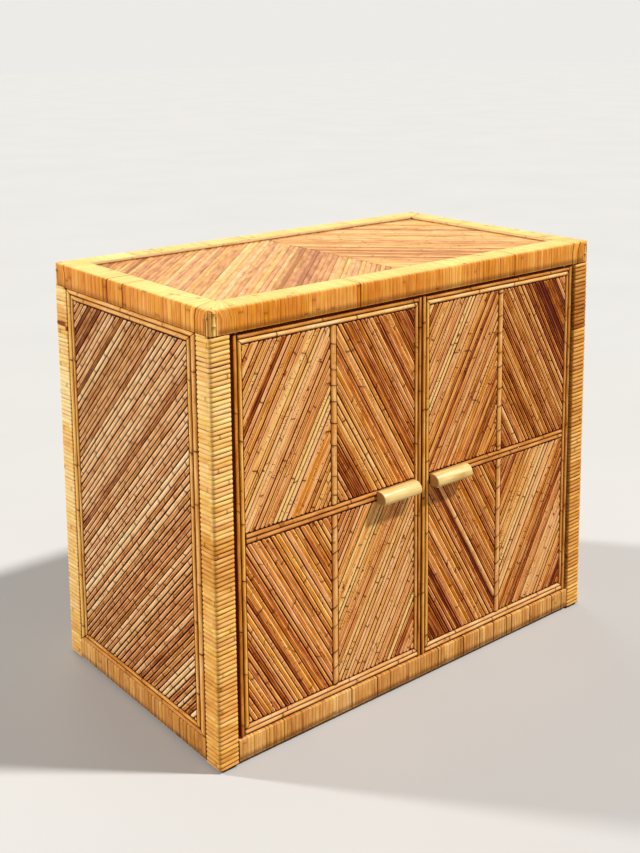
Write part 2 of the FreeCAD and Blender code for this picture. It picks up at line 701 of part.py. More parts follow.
side_board = board("side_board_left", "ply_side", cleat_long, RING_LOW + " - rail_top",
                   (LEFT + " + side_inset", FRONT + " + post_deep", "rail_top"))
keep(side_board, "side_board_left")
keep(twin("side_board_right", side_board), "side_board_right")

front_y = (size("handle_deep") + size("bead_high") - size("door_inset") - size("depth")) / 2
back_y = front_y + size("depth")
door_face_y = front_y + size("door_inset")
ring_low_z = size("height") - size("ring_high")

side_level = size("bead_side_level")
side_opening = (-(back_y - size("post_deep_rear")), size("rail_top"),
                -(front_y + size("post_deep")), ring_low_z)
side_outer = (side_level, size("bead_side_outer"), side_level, size("bead_side_outer"))
side_inner = (side_level, size("bead_side_inner"), side_level, size("bead_side_inner"))
side_middle = shrunk(side_opening, side_outer)
side_field = shrunk(side_middle, side_inner)
side_beads = Part.makeCompound([bead_frame(side_opening, side_outer, size("bead_side_high")),
                                bead_frame(side_middle, side_inner, size("bead_side_high"))])
side_beads_left = laid("side_beads_left", onto_left_side(side_beads))
side_reeds_left = laid("side_reeds_left",
                       onto_left_side(reed_mat(side_field, size("lean_side"), size("reed_side"))))
keep(twin("side_beads_right", side_beads_left), "side_beads_right")
keep(twin("side_reeds_right", side_reeds_left), "side_reeds_right")

top_field = (size("ring_side") - size("width") / 2, front_y + size("ring_front"), 0,
             back_y - size("ring_front"))
top_reeds_left = laid("top_reeds_left", onto_top(reed_mat(top_field, size("lean_top"), size("reed_top"))))
keep(twin("top_reeds_right", top_reeds_left), "top_reeds_right")

# Left door, and its twin ----------------------------------------------------------------------------

handle_screws = []
for number, sign in enumerate((-1, 1)):
    x = "-handle_end - handle_long/2 + %d*handle_screws/2" % sign
    handle_screws.append(pan_screw("handle_screw%d" % number, x, DOOR_REAR, "handle_mid",
                                   "ply_door + bead_high + handle_bite"))
handle_screw_set = group("door_left_handle_screws", handle_screws)
door_leaf_set = group("door_leaf_set", door_leaves)
door_screw_set = group("door_left_leaf_screws", door_screws)
bore_set = group("pin_bores", bores)

handle_bar = new_body("handle_bar")
handle_section = new_sketch(handle_bar, "handle_section", "YZ_Plane")
draw_polygon(handle_section, [("0", "-handle_high/2"), ("0", "handle_high/2"),
                              ("-handle_deep", "handle_high/2"), ("-handle_deep", "-handle_high/2")])
pad(handle_bar, handle_section, "handle_long")
for end, radius, side in (("upper", "handle_round", 1), ("lower", "handle_round_low", -1)):
    dress(handle_bar, "Fillet", end, radius,
          lambda m, d: near(abs(d.x), 1) and near(m.y, -size("handle_deep"))
          and near(m.z, side * size("handle_high") / 2))
dress(handle_bar, "Chamfer", "ends", "handle_soft",
      lambda m, d: (near(m.x, 0) or near(m.x, size("handle_long"))) and not near(m.y, 0))
place(handle_bar, "-handle_end - handle_long", DOOR_FACE + " - bead_high", "handle_mid")

door_blank = board("door_blank", DOOR_WIDE, "ply_door", DOOR_TOP + " - " + DOOR_LOW,
                   (DOOR_LEFT, DOOR_FACE, DOOR_LOW))
strike = board("strike_blank", "strike_long", "strike_thick", "strike_high",
               (catch_x + " + (catch_long - strike_long)/2", DOOR_REAR, DOOR_TOP + " - strike_high"))

door_x0 = size("post_wide") + size("gap_side") - size("width") / 2
door_outside = (door_x0, size("rail_top") + size("gap_low"),
                -size("gap_meet") / 2, ring_low_z - size("gap_top"))
bead_meet, bead_hinge = size("bead_meet"), size("bead_hinge")
outer_wides = (bead_meet, bead_meet, bead_meet, bead_hinge)
inner_wides = (bead_meet, bead_meet, bead_meet, bead_meet)
door_middle = shrunk(door_outside, outer_wides)
field_x0, field_z0, field_x1, field_z1 = shrunk(door_middle, inner_wides)
stile_x0 = (field_x0 + field_x1 - size("bead_stile")) / 2
stile_x1 = stile_x0 + size("bead_stile")
cross_z0, cross_z1 = size("cross_bead") - bead_meet, size("cross_bead") + bead_meet
high = size("bead_high")

cross_low = square_bead(V(field_x0, cross_z0, 0), V(field_x1, cross_z0, 0), V(0, 1, 0), bead_meet, high)
cross_high = square_bead(V(field_x1, cross_z1, 0), V(field_x0, cross_z1, 0), V(0, -1, 0), bead_meet, high)
stiles = [square_bead(V(stile_x1, z0, 0), V(stile_x1, z1, 0), V(-1, 0, 0), size("bead_stile"), high)
          for z0, z1 in ((field_z0, cross_z0), (cross_z1, field_z1))]


def door_reeds(z0, z1, left_lean, right_lean):
    """Two mats either side of the middle bead."""
    pitch = size("reed_door")
    return onto_door(Part.makeCompound([reed_mat((field_x0, z0, stile_x0, z1), left_lean, pitch),
                                        reed_mat((stile_x1, z0, field_x1, z1), right_lean, pitch)]))


lean, other_lean = size("lean_door"), 180 - size("lean_door")
cross_beads = doc.addObject("Part::Feature", "cross_bead_pair")
cross_beads.Shape = onto_door(Part.makeCompound([cross_low, cross_high]))

door_parts = {
    "board": cut_for("door_board", door_blank, door_leaf_set, door_screw_set, bore_set, handle_screw_set),
    "reeds_upper": laid("door_left_reeds_upper", door_reeds(cross_z1, field_z1, lean, other_lean)),
    "reeds_lower": laid("door_left_reeds_lower", door_reeds(field_z0, cross_z0, other_lean, lean)),
    "outer_beads": laid("door_left_outer_beads", onto_door(butted_frame(door_outside, outer_wides, high))),
    "inner_beads": laid("door_left_inner_beads", onto_door(bead_frame(door_middle, inner_wides, high))),
    "cross_beads": cut_for("door_cross_beads", cross_beads, handle_screw_set),
    "stile_bead": laid("door_left_stile_bead", onto_door(Part.makeCompound(stiles))),
    "handle": cut_for("door_handle", handle_bar, handle_screw_set),
    "handle_screws": handle_screw_set,
    "hinge_leaves": cut_for("door_hinge_leaves", door_leaf_set, door_screw_set),
    "leaf_screws": door_screw_set,
    "strike_plate": strike,
}
for name, source in door_parts.items():
    if source not in kept:
        keep(source, "door_left_" + name)
    keep(twin("door_right_" + name, source), "door_right_" + name)

# Test every object and write the sub-parts ----------------------------------------------------------

doc.recompute()
for thing in doc.Objects:
    if "Invalid" in thing.State or "Error" in thing.State:
        raise RuntimeError(thing.Name + " did not build")
for thing in kept:
    if thing.Shape.isNull() or not thing.Shape.isValid() or not thing.Shape.Solids:
        raise RuntimeError(thing.Label + " has no valid solid")
os.makedirs("parts", exist_ok=True)
for thing in kept:
    thing.Shape.exportStep("parts/" + thing.Label + ".step")
    solids = thing.Shape.Solids
    print("%-28s %2d solids %10.1f cm3" % (thing.Label, len(solids), sum(s.Volume for s in solids) / 1000))
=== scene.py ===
import math

import bpy
import numpy as np
from mathutils import Matrix, Vector


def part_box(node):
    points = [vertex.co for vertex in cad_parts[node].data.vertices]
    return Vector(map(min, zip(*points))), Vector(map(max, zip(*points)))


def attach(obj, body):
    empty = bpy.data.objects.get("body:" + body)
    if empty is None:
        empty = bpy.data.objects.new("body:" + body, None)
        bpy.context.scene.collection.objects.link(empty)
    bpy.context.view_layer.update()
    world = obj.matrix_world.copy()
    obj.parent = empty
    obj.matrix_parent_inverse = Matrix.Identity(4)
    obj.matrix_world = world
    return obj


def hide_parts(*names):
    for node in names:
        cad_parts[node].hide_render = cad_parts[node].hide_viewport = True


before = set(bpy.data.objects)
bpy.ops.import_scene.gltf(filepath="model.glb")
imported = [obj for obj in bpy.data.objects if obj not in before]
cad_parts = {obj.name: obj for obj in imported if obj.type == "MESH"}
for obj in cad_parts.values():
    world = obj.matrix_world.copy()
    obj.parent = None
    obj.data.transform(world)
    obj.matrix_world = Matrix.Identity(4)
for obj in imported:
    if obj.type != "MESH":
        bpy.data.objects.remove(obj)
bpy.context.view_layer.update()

# The dress of a record cabinet: mats of split reed, half-round beads, posts and rails bound in rattan peel.
# Work on the canes is in millimetres, in the cabinet's own frame, and turns to metres as each mesh is made.
MM = 0.001
dice = np.random.default_rng(27)

# Strips of cane ------------------------------------------------------------------------------------

REED_WIDE = {"door": 8.2, "side": 8.8, "top": 9.3}
REED_LEAN = {"door": 60, "side": 45, "top": 45}
PEEL_WIDE = {"post": 7.7, "rail": 7.9, "broad": 13.0, "foot": 7.5, "broad foot": 11.0}
ARCH = 10                     # flats over a reed or bead
REED_STEP = 16                # between two sections along a reed
KNOT_APART = 210              # usual distance between a cane's knots
KNOT_NEAR = 12.0              # length of cane marked by a knot, half each way
KNOT_SLANT = 0.45             # usual slope of a knot across its cane
END_GRIME_AND_SHADE = 3.0                # a strip is drawn dark this far from its cut ends, as grime and as painted shade at the joint
KNOT_RISE, KNOT_LONG = 0.07, 3.5         # how much a knot swells, as a share of the height, and how far
KNOT_STEPS = (-6, -2, 0, 2, 6)           # sections round a knot
KNOT_FROM_END = 4             # a knot nearer to a cut end than this isn't raised
NO_KNOT = 0.5                 # knots passed, for a part that is clear of them
BASE_EDGE = 0.4               # upright edge of a reed before its arch
JOINT_FILL = 2.6              # how much higher that edge would be at a joint with no groove at all
PEEL_THICK = 1.0              # underside of a wound peel behind its own edge
POST_CROWN, RAIL_CROWN = 2.1, 0.4
BEAD_KNOTS, PEEL_KNOTS = 140, 330       # usual distance between knots on a bead and on a peel
BEAD_FILL = 0.96              # share of its place that a bead fills
BEAD_EDGE, BEAD_FULL = 0.5, 0.9         # upright edge of a bead, and how flat its top is
LEAST_LONG = 3                # a strip trimmed shorter than this is left out
POST_SIDE_STEPS, RAIL_SIDE_STEPS, CORNER_STEPS = 4, 3, 5


def box_mm(node):
    """Lowest and highest corner of a CAD node, in millimetres."""
    low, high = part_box(node)
    return np.array(low) / MM, np.array(high) / MM


class Face:
    """A flat face to work on: u and v lie in it and w stands out of it."""

    def __init__(self, origin, u, v, w):
        self.origin = np.array(origin, float)
        self.axes = np.array([u, v, w], float)

    def world(self, points):
        return self.origin + np.asarray(points, float) @ self.axes

    def rect(self, *nodes):
        """(u0, v0, u1, v1) round some CAD nodes, and how far they stand out of the face."""
        ends = [(np.array(corner) - self.origin) @ self.axes.T for node in nodes for corner in box_mm(node)]
        low, high = np.min(ends, axis=0), np.max(ends, axis=0)
        return (low[0], low[1], high[0], high[1]), high[2]


class Work:
    """Canes gathered into one mesh. Each point knows its place along and across its own cane."""

    def __init__(self):
        self.points, self.fibre, self.habit, self.quads, self.caps = [], [], [], [], []
        self.count = self.canes = 0

    def skin(self, sections, fibre, habit):
        """A closed solid through sections, an array of (sections, points round, 3) in world millimetres.

        fibre is each point's place along and across its cane in millimetres, with the cane's number. habit is
        how pale it is, how many knots come before it and how near it is to an edge drawn dark, as grime and
        as painted shade.
        """
        along, around = sections.shape[:2]
        middle = sections.mean(1)
        ring = sections[0] - middle[0]
        area = np.cross(ring, np.roll(ring, -1, 0)).sum(0)
        inside_out = area @ (middle[-1] - middle[0]) < 0
        number = self.count + np.arange(along * around).reshape(along, around)
        a, b = number[:-1], number[1:]
        corners = [a, np.roll(a, -1, 1), np.roll(b, -1, 1), b]
        self.quads.append(np.stack(corners[::-1] if inside_out else corners, -1).reshape(-1, 4))
        ends = [number[0][::-1], number[-1]]
        self.caps += [end[::-1].tolist() if inside_out else end.tolist() for end in ends]
        self.points.append(sections.reshape(-1, 3) * MM)
        for rows, parts, scale in ((self.fibre, fibre, (MM, MM, 1)), (self.habit, habit, 1)):
            alike = np.broadcast_arrays(*parts, sections[..., 0])[:3]
            rows.append((np.stack(alike, -1) * scale).reshape(-1, 3))
        self.count += along * around

    def piece(self, name, body, slot, finish, *nodes):
        """Make the mesh, and let it stand for CAD nodes."""
        quads = np.concatenate(self.quads).tolist()
        mesh = bpy.data.meshes.new(name)
        mesh.from_pydata(np.concatenate(self.points), [], quads + self.caps)
        mesh.polygons.foreach_set("use_smooth", [True] * len(quads) + [False] * len(self.caps))
        for key, rows in (("fibre", self.fibre), ("habit", self.habit)):
            values = np.concatenate(rows).astype(np.float32).ravel()
            mesh.attributes.new(key, "FLOAT_VECTOR", "POINT").data.foreach_set("vector", values)
        mesh.materials.append(finish)
        mesh.update()
        thing = bpy.data.objects.new(name, mesh)
        bpy.context.scene.collection.objects.link(thing)
        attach(thing, body)
        if nodes:
            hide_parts(*nodes)


def drift(places, size, *waves):
    """A slow uneven change along places, about size each way, from a few waves of given lengths."""
    total = sum(np.sin(places * (2 * math.pi / wave) + dice.uniform(0, 2 * math.pi)) for wave in waves)
    return size * total / len(waves)


def knot_places(long, apart):
    """Where a cane's knots are, from before its start to past its end."""
    gaps = apart * dice.uniform(0.6, 1.45, int(long / apart / 0.6) + 4)
    return np.cumsum(gaps) - gaps[0] - apart * dice.uniform(0, 1)


def knots_passed(run, knots):
    """How many knots lie before each place: whole at a knot, and halfway clear of one."""
    return np.clip((np.asarray(run)[..., None] - knots) / KNOT_NEAR + 0.5, 0, 1).sum(-1) - 0.5


def clip_lines(starts, along, outline):
    """How far each line from starts runs inside a convex outline, given anticlockwise."""
    first, last = np.full(len(starts), -1e9), np.full(len(starts), 1e9)
    for corner, following in zip(outline, np.roll(outline, -1, 0)):
        inward = np.array((corner[1] - following[1], following[0] - corner[0]))
        slope, room = inward @ along, (starts - corner) @ inward
        if slope > 1e-6:
            first = np.maximum(first, -room / slope)
        elif slope < -1e-6:
            last = np.minimum(last, -room / slope)
    return first, np.maximum(last, first)


def corners_of(u0, v0, u1, v1):
    """A rectangle's corners, anticlockwise."""
    return [(u0, v0), (u1, v0), (u1, v1), (u0, v1)]


def lay_strip(work, face, outline, start, along, wide, edge, crown, tone, apart=KNOT_APART, fullness=1.0,
              joints=(1.0, 1.0), ends=1.0):
    """Lay one half-round strip along a line, trimmed to a convex outline on the face.

    A fullness under 1 gives a flatter top and steeper shoulders. joints says how dark each side is drawn
    and ends how dark the cut ends are, as grime and as painted shade in the grooves and joints.
    """
    start, along, outline = np.array(start, float), np.array(along, float), np.array(outline, float)
    across = np.array((-along[1], along[0]))
    turn = np.linspace(0, math.pi, ARCH + 1)
    reach = (outline - start) @ across
    offset = np.clip(-np.cos(turn) * wide / 2, reach.min() + 0.01, reach.max() - 0.01)
    first, last = clip_lines(start + np.outer(offset, across), along, outline)
    long = last.max() - first.min()
    if long < LEAST_LONG:
        return
    knots = first.min() + knot_places(long, apart)
    shown = knots[(knots > first.mean() + KNOT_FROM_END) & (knots < last.mean() - KNOT_FROM_END)]
    near_knots = (shown[:, None] + np.array(KNOT_STEPS)).ravel()
    usual_long = last.mean() - first.mean() + 1e-6
    share = (near_knots - first.mean()) / usual_long
    regular = np.linspace(0, 1, max(2, int(long / REED_STEP) + 1))
    near_end = END_GRIME_AND_SHADE / usual_long
    share = np.unique(np.clip(np.concatenate([regular, share, (near_end, 1 - near_end)]), 0, 1))
    run = first + (last - first) * share[:, None]
    middle = run.mean(1)
    swell = 1 + drift(middle, 0.035, 61, 143)
    for knot in shown:
        swell += KNOT_RISE * np.exp(-((middle - knot) / KNOT_LONG) ** 2)
    shallow = np.minimum(edge + JOINT_FILL * np.maximum(1 - np.array(joints), 0), crown * 0.7)
    edges = np.where(turn < math.pi / 2, *shallow)
    high = edges + (crown * 0.965 - edges) * np.sin(turn) ** fullness * swell[:, None]
    aside = offset + drift(middle, 0.16, 83, 190)[:, None]
    flat = start + aside[..., None] * across + run[..., None] * along
    top = np.concatenate([flat, np.minimum(high, crown)[..., None]], -1)
    foot = top[:, (0, -1)] * (1, 1, 0)
    local = np.concatenate([foot[:, :1], top, foot[:, 1:]], 1)
    number = work.canes = work.canes + 1
    cut = dice.uniform(0, 3000)
    round_run = np.concatenate([run[:, :1], run, run[:, -1:]], 1)
    round_side = np.concatenate([offset[:1], offset, offset[-1:]])
    side_edge = np.abs(np.cos(turn)) * np.where(turn < math.pi / 2, *joints)
    at_end = ends * np.clip(1 - np.minimum(share, 1 - share) / near_end, 0, 1)
    round_edge = np.maximum(np.concatenate([[1], side_edge, [1]]), at_end[:, None])
    slanted_run = round_run + dice.normal(0, KNOT_SLANT) * round_side
    passed = knots_passed(slanted_run, knots) + number * 7
    work.skin(face.world(local), (round_run + cut, round_side, number), (tone, passed, round_edge))


def lay_bead(work, face, outline, start, along, wide, crown, tone, **unusual):
    """Lay a half-round bead, a thicker strip whose knots are closer together than a reed's."""
    lay_strip(work, face, outline, start, along, wide * BEAD_FILL, BEAD_EDGE, crown, tone, BEAD_KNOTS,
              BEAD_FULL, **unusual)


REED_FILL = 0.99              # share of its place that a reed fills
CANE_SPREAD, REED_SPREAD = 0.15, 0.11    # how much canes, and reeds of one cane, differ in how pale they are
DARK_REEDS, DARKER = 0.13, 0.36          # this share of the reeds is that much darker


def reed_mat(work, face, field, lean, pitch, mood, crown, short, fullness, apart=KNOT_APART, joint_from=0.5):
    """Lay split reeds side by side over field, rising at lean degrees; neighbours come from the same cane.

    mood says how pale they are, as one value or as the first and last reed's.
    """
    u0, v0, u1, v1 = field
    along = np.array((math.cos(math.radians(lean)), math.sin(math.radians(lean))))
    across = np.array((-along[1], along[0]))
    corners = np.array(corners_of(*field))
    middle = corners.mean(0)
    reach = np.abs((corners - middle) @ across).max()
    place, joint, left_of_cane = -reach, 1.0, 0
    while place < reach:
        if left_of_cane == 0:
            left_of_cane = dice.integers(1, 6)
            own_mood = np.interp(place, (-reach, reach), np.broadcast_to(mood, 2))
            cane_tone = own_mood + dice.normal(0, CANE_SPREAD)
        left_of_cane -= 1
        wide = pitch * dice.uniform(0.84, 1.16)
        next_joint = dice.uniform(joint_from, 1.0) if left_of_cane else 1.0
        trim = short * dice.uniform(0, 1, 2)
        tone = cane_tone + dice.normal(0, REED_SPREAD) - (DARKER if dice.random() < DARK_REEDS else 0)
        outline = corners_of(u0, v0 + trim[0], u1, v1 - trim[1])
        start = middle + across * (place + wide / 2)
        lay_strip(work, face, outline, start, along, wide * REED_FILL, BASE_EDGE,
                  crown * dice.uniform(0.8, 1), tone, apart, fullness, (joint, next_joint))
        place += wide
        joint = next_joint


HINGE_SIDE_DARK = 1.8                   # how far the dark edge reaches over a door bead beside its hinges; 1 is usual
BEAD_SPREAD = 0.05            # how much beads differ in how pale they are
BUTT_GRIME_AND_SHADE = 0.8               # dark is drawn where a bead's end butts against another bead, as grime and as painted shade in the joint


def bead_frame(work, face, outside, inside, crown, moods):
    """Lay four mitred beads between two rectangles; moods are for the low, right, top and left bead."""
    outer, inner = np.array(corners_of(*outside)), np.array(corners_of(*inside))
    for i, mood in enumerate(moods):
        j = (i + 1) % 4
        along = (outer[j] - outer[i]) / np.linalg.norm(outer[j] - outer[i])
        inward = np.array((-along[1], along[0]))
        wide = (inner[i] - outer[i]) @ inward
        outline = [outer[i], outer[j], inner[j], inner[i]]
        lay_bead(work, face, outline, outer[i] + inward * wide / 2, along, wide, crown,
                 mood + dice.normal(0, BEAD_SPREAD))


def butted_frame(work, face, outside, inside, crown, moods):
    """Lay two beads upright from end to end, their cut ends clean, and two level ones between them.

    The upright further from the cabinet's middle is drawn darker along the gap at its hinges.
    """
    (a, b, c, d), (p, q, r, s) = outside, inside
    right_dark, left_dark = ((1.0, HINGE_SIDE_DARK), (HINGE_SIDE_DARK, 1.0))[abs(c) > abs(a)]
    beads = (((p, b, r, q), True, (1.0, 1.0)), ((r, b, c, d), False, (right_dark, 1.0)),
             ((p, s, r, d), True, (1.0, 1.0)), ((a, b, p, d), False, (1.0, left_dark)))
    for (place, level, joints), mood in zip(beads, moods):
        u0, v0, u1, v1 = place
        if level:
            wide, start, along = v1 - v0, (u0, (v0 + v1) / 2), (1, 0)
        else:
            wide, start, along = u1 - u0, ((u0 + u1) / 2, v0), (0, 1)
        lay_bead(work, face, corners_of(*place), start, along, wide, crown,
                 mood + dice.normal(0, BEAD_SPREAD), joints=joints, ends=BUTT_GRIME_AND_SHADE if level else 0.0)


# Wound peel ----------------------------------------------------------------------------------------

def soft_section(wide, deep, radii, side_steps):
    """Points and outward directions round a rectangle from (0, 0) with its own radius at each corner."""
    centres = [(radii[0], radii[0]), (wide - radii[1], radii[1]), (wide - radii[2], deep - radii[2]),
               (radii[3], deep - radii[3])]
    points, outward = [], []
    for i, (centre, radius) in enumerate(zip(centres, radii)):
        for turn in np.linspace(math.pi + i * math.pi / 2, 1.5 * math.pi + i * math.pi / 2, CORNER_STEPS):
            way = np.array((math.cos(turn), math.sin(turn)))
            points.append(np.array(centre) + radius * way)
            outward.append(way)
        following = centres[(i + 1) % 4]
        radius_on = radii[(i + 1) % 4]
        start, end = points[-1], np.array(following) + radius_on * outward[-1]
        for share in np.arange(1, side_steps) / side_steps:
            points.append(start + (end - start) * share)
            outward.append(outward[-1])
    return np.array(points), np.array(outward)


BAND = np.array((-1, -0.82, -0.42, 0, 0.42, 0.82, 1))


def band_height(crown, fullness=2.1):
    return crown * (1 - np.abs(BAND) ** fullness)


PEEL_TURNS, PEEL_LOOPS = (6, 16), (2, 9) # how many turns of a post, and loops of a rail, one peel lasts
PEEL_SPREAD, TURN_SPREAD = 0.09, 0.05    # how much a post's peels, and turns of one peel, differ in paleness
RAIL_SPREAD, LOOP_SPREAD = 0.08, 0.045   # the same for a rail's peels and loops
DARK_TURN = 0.75              # how much darker a dark turn is
PITCH_SPREAD, LOOP_SHIFT = 0.05, 0.09    # how much turns and loops differ in width, as a share of it
CORE_TONE = 0.3


def wind_post(work, low, high, radii, pitch, mood, dark_at=()):
    """Wind one long peel round a post like a spring, with a new peel let in every dozen turns or so."""
    wide, deep = high[0] - low[0], high[1] - low[1]
    points, outward = soft_section(wide, deep, radii, POST_SIDE_STEPS)
    steps = len(points)
    run_round = np.cumsum(np.linalg.norm(np.roll(points, -1, 0) - points, axis=1))
    perimeter = run_round[-1]
    turns = int((high[2] - low[2]) / pitch) + 2
    sample = np.arange(turns * steps + 1)
    turn, spot = sample // steps, sample % steps
    run = turn * perimeter + np.concatenate([[0], run_round])[spot]
    climb = low[2] - pitch + pitch * run / perimeter
    tones, left = [], 0
    for _ in range(turns + 1):
        if left == 0:
            left, tone = dice.integers(*PEEL_TURNS), dice.normal(mood, PEEL_SPREAD)
        left -= 1
        tones.append(tone + dice.normal(0, TURN_SPREAD))
    tones = np.array(tones)
    for place in dark_at:
        tones[int((place - low[2]) / pitch) + 1] -= DARK_TURN
    half = pitch / 2 * (1 + PITCH_SPREAD * dice.standard_normal(turns + 1)[turn])
    # the peel lies flatter on the cabinet's sides, where it was drawn tight
    crown = POST_CROWN * (0.35 + 0.65 * outward[spot, 1] ** 2) * (1 + drift(run, 0.12, 170, 410))
    lift = np.concatenate([band_height(1)[None] * crown[:, None], np.full((len(sample), 2), -PEEL_THICK)], 1)
    edge = np.concatenate([BAND, (1, -1)])
    rise = edge[None] * half[:, None] + (climb + drift(run, 0.3, 57, 233))[:, None]
    base = points[spot] - outward[spot] * POST_CROWN * 1.12
    flat = base[:, None] + outward[spot][:, None] * lift[..., None] + low[:2]
    upright = np.clip(rise, low[2], high[2])[..., None]
    sections = np.concatenate([flat, upright], -1)
    passed = knots_passed(run, knot_places(run[-1], PEEL_KNOTS))[:, None]
    number = work.canes = work.canes + 1
    # the grooves are drawn darker on the front and back faces than on the sides, as painted shade of light
    # falling across the bands
    joint = (0.74 + 0.18 * outward[spot, 1] ** 2) * (1 + drift(run, 0.14, 29, 67, 211))
    work.skin(sections, (run[:, None], edge * pitch / 2, number + turn[:, None] * 0.31),
              (tones[turn][:, None], passed, np.abs(edge) * joint[:, None]))
    fill_core(work, low, high, radii, POST_CROWN + 0.4)


def fill_core(work, low, high, radii, inset):
    """The wood behind wound peel, seen only in a groove, so coloured all over with the groove's painted
    shade.
    """
    points, outward = soft_section(high[0] - low[0], high[1] - low[1], radii, 1)
    flat = points - outward * inset + low[:2]
    ends = [np.concatenate([flat, np.full((len(flat), 1), z)], 1) for z in (low[2] + 0.3, high[2] - 0.3)]
    work.skin(np.array(ends), (0, 0, 0), (CORE_TONE, NO_KNOT, 1))


JOINT_LEAST = 0.5             # a joint this faint between two peels is drawn with no dark, neither grime nor painted shade
GAP = 0.9                     # width of an open joint
CORE_IN = 1.2                 # the wood lies this far in from the outside of its binding
RING_CORE_IN = 3.2            # the top frame's wood stays clear of its rounded corners
MITRE_EDGE = 0.3              # the peels that meet at a mitre are cut clean, with little dark drawn on their edges
LAP = 0.9                     # peels of two rails run this far over each other at a mitre
FAN = 55.0                    # peels this near a corner of the top frame spread to cover its top
FAN_DOWN = 9.0                # and start to spread this far below the top


def bind_rail(work, face, long, section, inner_place, mood, pitch, gap_every=26, crown=RAIL_CROWN, bare=0.0,
              narrow=0):
    """Bind a rail with peels side by side, each a loop round its section.

    The face's u runs along the rail, v up and w from its outside inwards. section gives the loop's (w, v)
    points with outward directions, and inner_place says where along the rail the inner side of a loop is.
    The first and last bare mm of the rail's outer face are left unbound, and its top is covered. The narrow
    peels at each end are as wide as the front's, with an open joint after them.
    """
    points, outward = section
    deep = points[:, 0].max()
    steps = len(points)
    loop = np.arange(steps + 1) % steps
    run_round = np.concatenate([[0], np.cumsum(np.linalg.norm(np.diff(points[loop], axis=0), axis=1))])
    ends = bare + np.arange(narrow) * PEEL_WIDE["rail"]
    inset = bare + narrow * PEEL_WIDE["rail"]
    middles = np.linspace(inset, long - inset, round((long - 2 * inset) / pitch) + 1)
    bounds_of = np.concatenate([ends, middles, long - ends[::-1]])
    count = len(bounds_of) - 1
    bounds_of[1:-1] += dice.normal(0, LOOP_SHIFT * pitch, count - 1) * (0.5 if narrow else 1)
    gapped = dice.random(count + 1) < 1 / gap_every
    gapped[[0, -1]] = False
    if narrow:
        gapped[[narrow, -1 - narrow]] = True
    joints = np.where(gapped, 1.0, JOINT_LEAST + (1 - JOINT_LEAST) * dice.uniform(0, 1, count + 1) ** 2)
    joints[[0, -1]] = JOINT_LEAST
    tall = points[:, 1].max()
    on_top = np.clip((points[loop, 1] - tall + FAN_DOWN) / FAN_DOWN, 0, 1)[:, None]
    left = 0
    for i in range(count):
        if left == 0:
            left, tone = dice.integers(*PEEL_LOOPS), dice.normal(mood, RAIL_SPREAD)
        left -= 1
        own_tone = tone + dice.normal(0, LOOP_SPREAD)
        start = bounds_of[i] + (GAP / 2 if gapped[i] else 0.0)
        end = bounds_of[i + 1] - (GAP / 2 if gapped[i + 1] else 0.0)
        strength = np.where(BAND < 0, joints[i], joints[i + 1])
        outer = (start + end) / 2 + BAND * (end - start) / 2
        outer = np.concatenate([outer, outer[[-1, 0]]])
        lean = drift(run_round, 0.22, 61, 37)[:, None]
        depth = (points[loop, 0] / deep)[:, None]
        place = outer + lean * (1 - np.abs(np.concatenate([BAND, (1, -1)])))
        spread_out = np.clip(1 - (long - bare - outer) / FAN, 0, 1) - np.clip(1 - (outer - bare) / FAN, 0, 1)
        place = place + (inner_place(outer) - outer) * depth \
            + (bare * (1 - depth) + (LAP if bare else 0)) * on_top * spread_out
        height = crown * dice.uniform(0.6, 1.0)
        lift = np.concatenate([band_height(height, 3), (-PEEL_THICK, -PEEL_THICK)])
        base = points[loop] - outward[loop] * (crown + dice.uniform(0, 0.12))
        loops = base[:, None] + outward[loop][:, None] * lift[:, None]
        sections = np.stack([place, loops[..., 1], loops[..., 0]], -1)
        under = MITRE_EDGE if bare and i in (0, count - 1) else 1
        edge = np.concatenate([np.abs(BAND) * strength, (under, under)])
        number = work.canes = work.canes + 1
        cut = dice.uniform(0, 3000)
        passed = knots_passed(run_round[:, None], knot_places(run_round[-1], PEEL_KNOTS))
        work.skin(face.world(sections), (run_round[:, None] + cut, outer, number), (own_tone, passed, edge))


def rail_core(work, face, long, section, inner_place, inset):
    """The rail's wood, a little inside its binding, coloured partly with the groove's painted shade."""
    points, outward = section
    flat = np.clip(points - outward * CORE_IN, inset, points.max(axis=0) - inset)
    ends = []
    for place in (0.05, long - 0.05):
        along = place + (inner_place(np.array(place)) - place) * flat[:, 0] / points[:, 0].max()
        ends.append(np.stack([along, flat[:, 1], flat[:, 0]], -1))
    work.skin(face.world(np.array(ends)), (0, 0, 0), (CORE_TONE, NO_KNOT, 0.88))


# Materials -----------------------------------------------------------------------------------------

MIX_A, MIX_B, MIX_OUT = 6, 7, 2          # colour sockets of the Mix node


def linear(code):
    """An sRGB hex colour as the linear colour that Blender works in."""
    parts = [int(code[i:i + 2], 16) / 255 for i in (1, 3, 5)]
    return tuple(c / 12.92 if c <= 0.04045 else ((c + 0.055) / 1.055) ** 2.4 for c in parts) + (1.0,)


def add(tree, kind, inputs=(), stops=(), **settings):
    """Add a shader node with its settings and a ramp's stops.

    An input is a value, a socket to link, or a node whose first output is linked.
    """
    made = tree.nodes.new("ShaderNode" + kind)
    for key, value in settings.items():
        setattr(made, key, value)
    for place, (position, code) in enumerate(stops):
        elements = made.color_ramp.elements
        stop = elements[place] if place < len(elements) else elements.new(position)
        stop.position, stop.color = position, linear(code)
    for key, value in dict(inputs).items():
        if isinstance(value, bpy.types.Node):
            value = value.outputs[0]
        if isinstance(value, bpy.types.NodeSocket):
            tree.links.new(value, made.inputs[key])
        else:
            made.inputs[key].default_value = value
    return made


def new_finish(name):
    finish = bpy.data.materials.new(name)
    finish.use_nodes = True
    finish.node_tree.nodes.clear()
    return finish, finish.node_tree


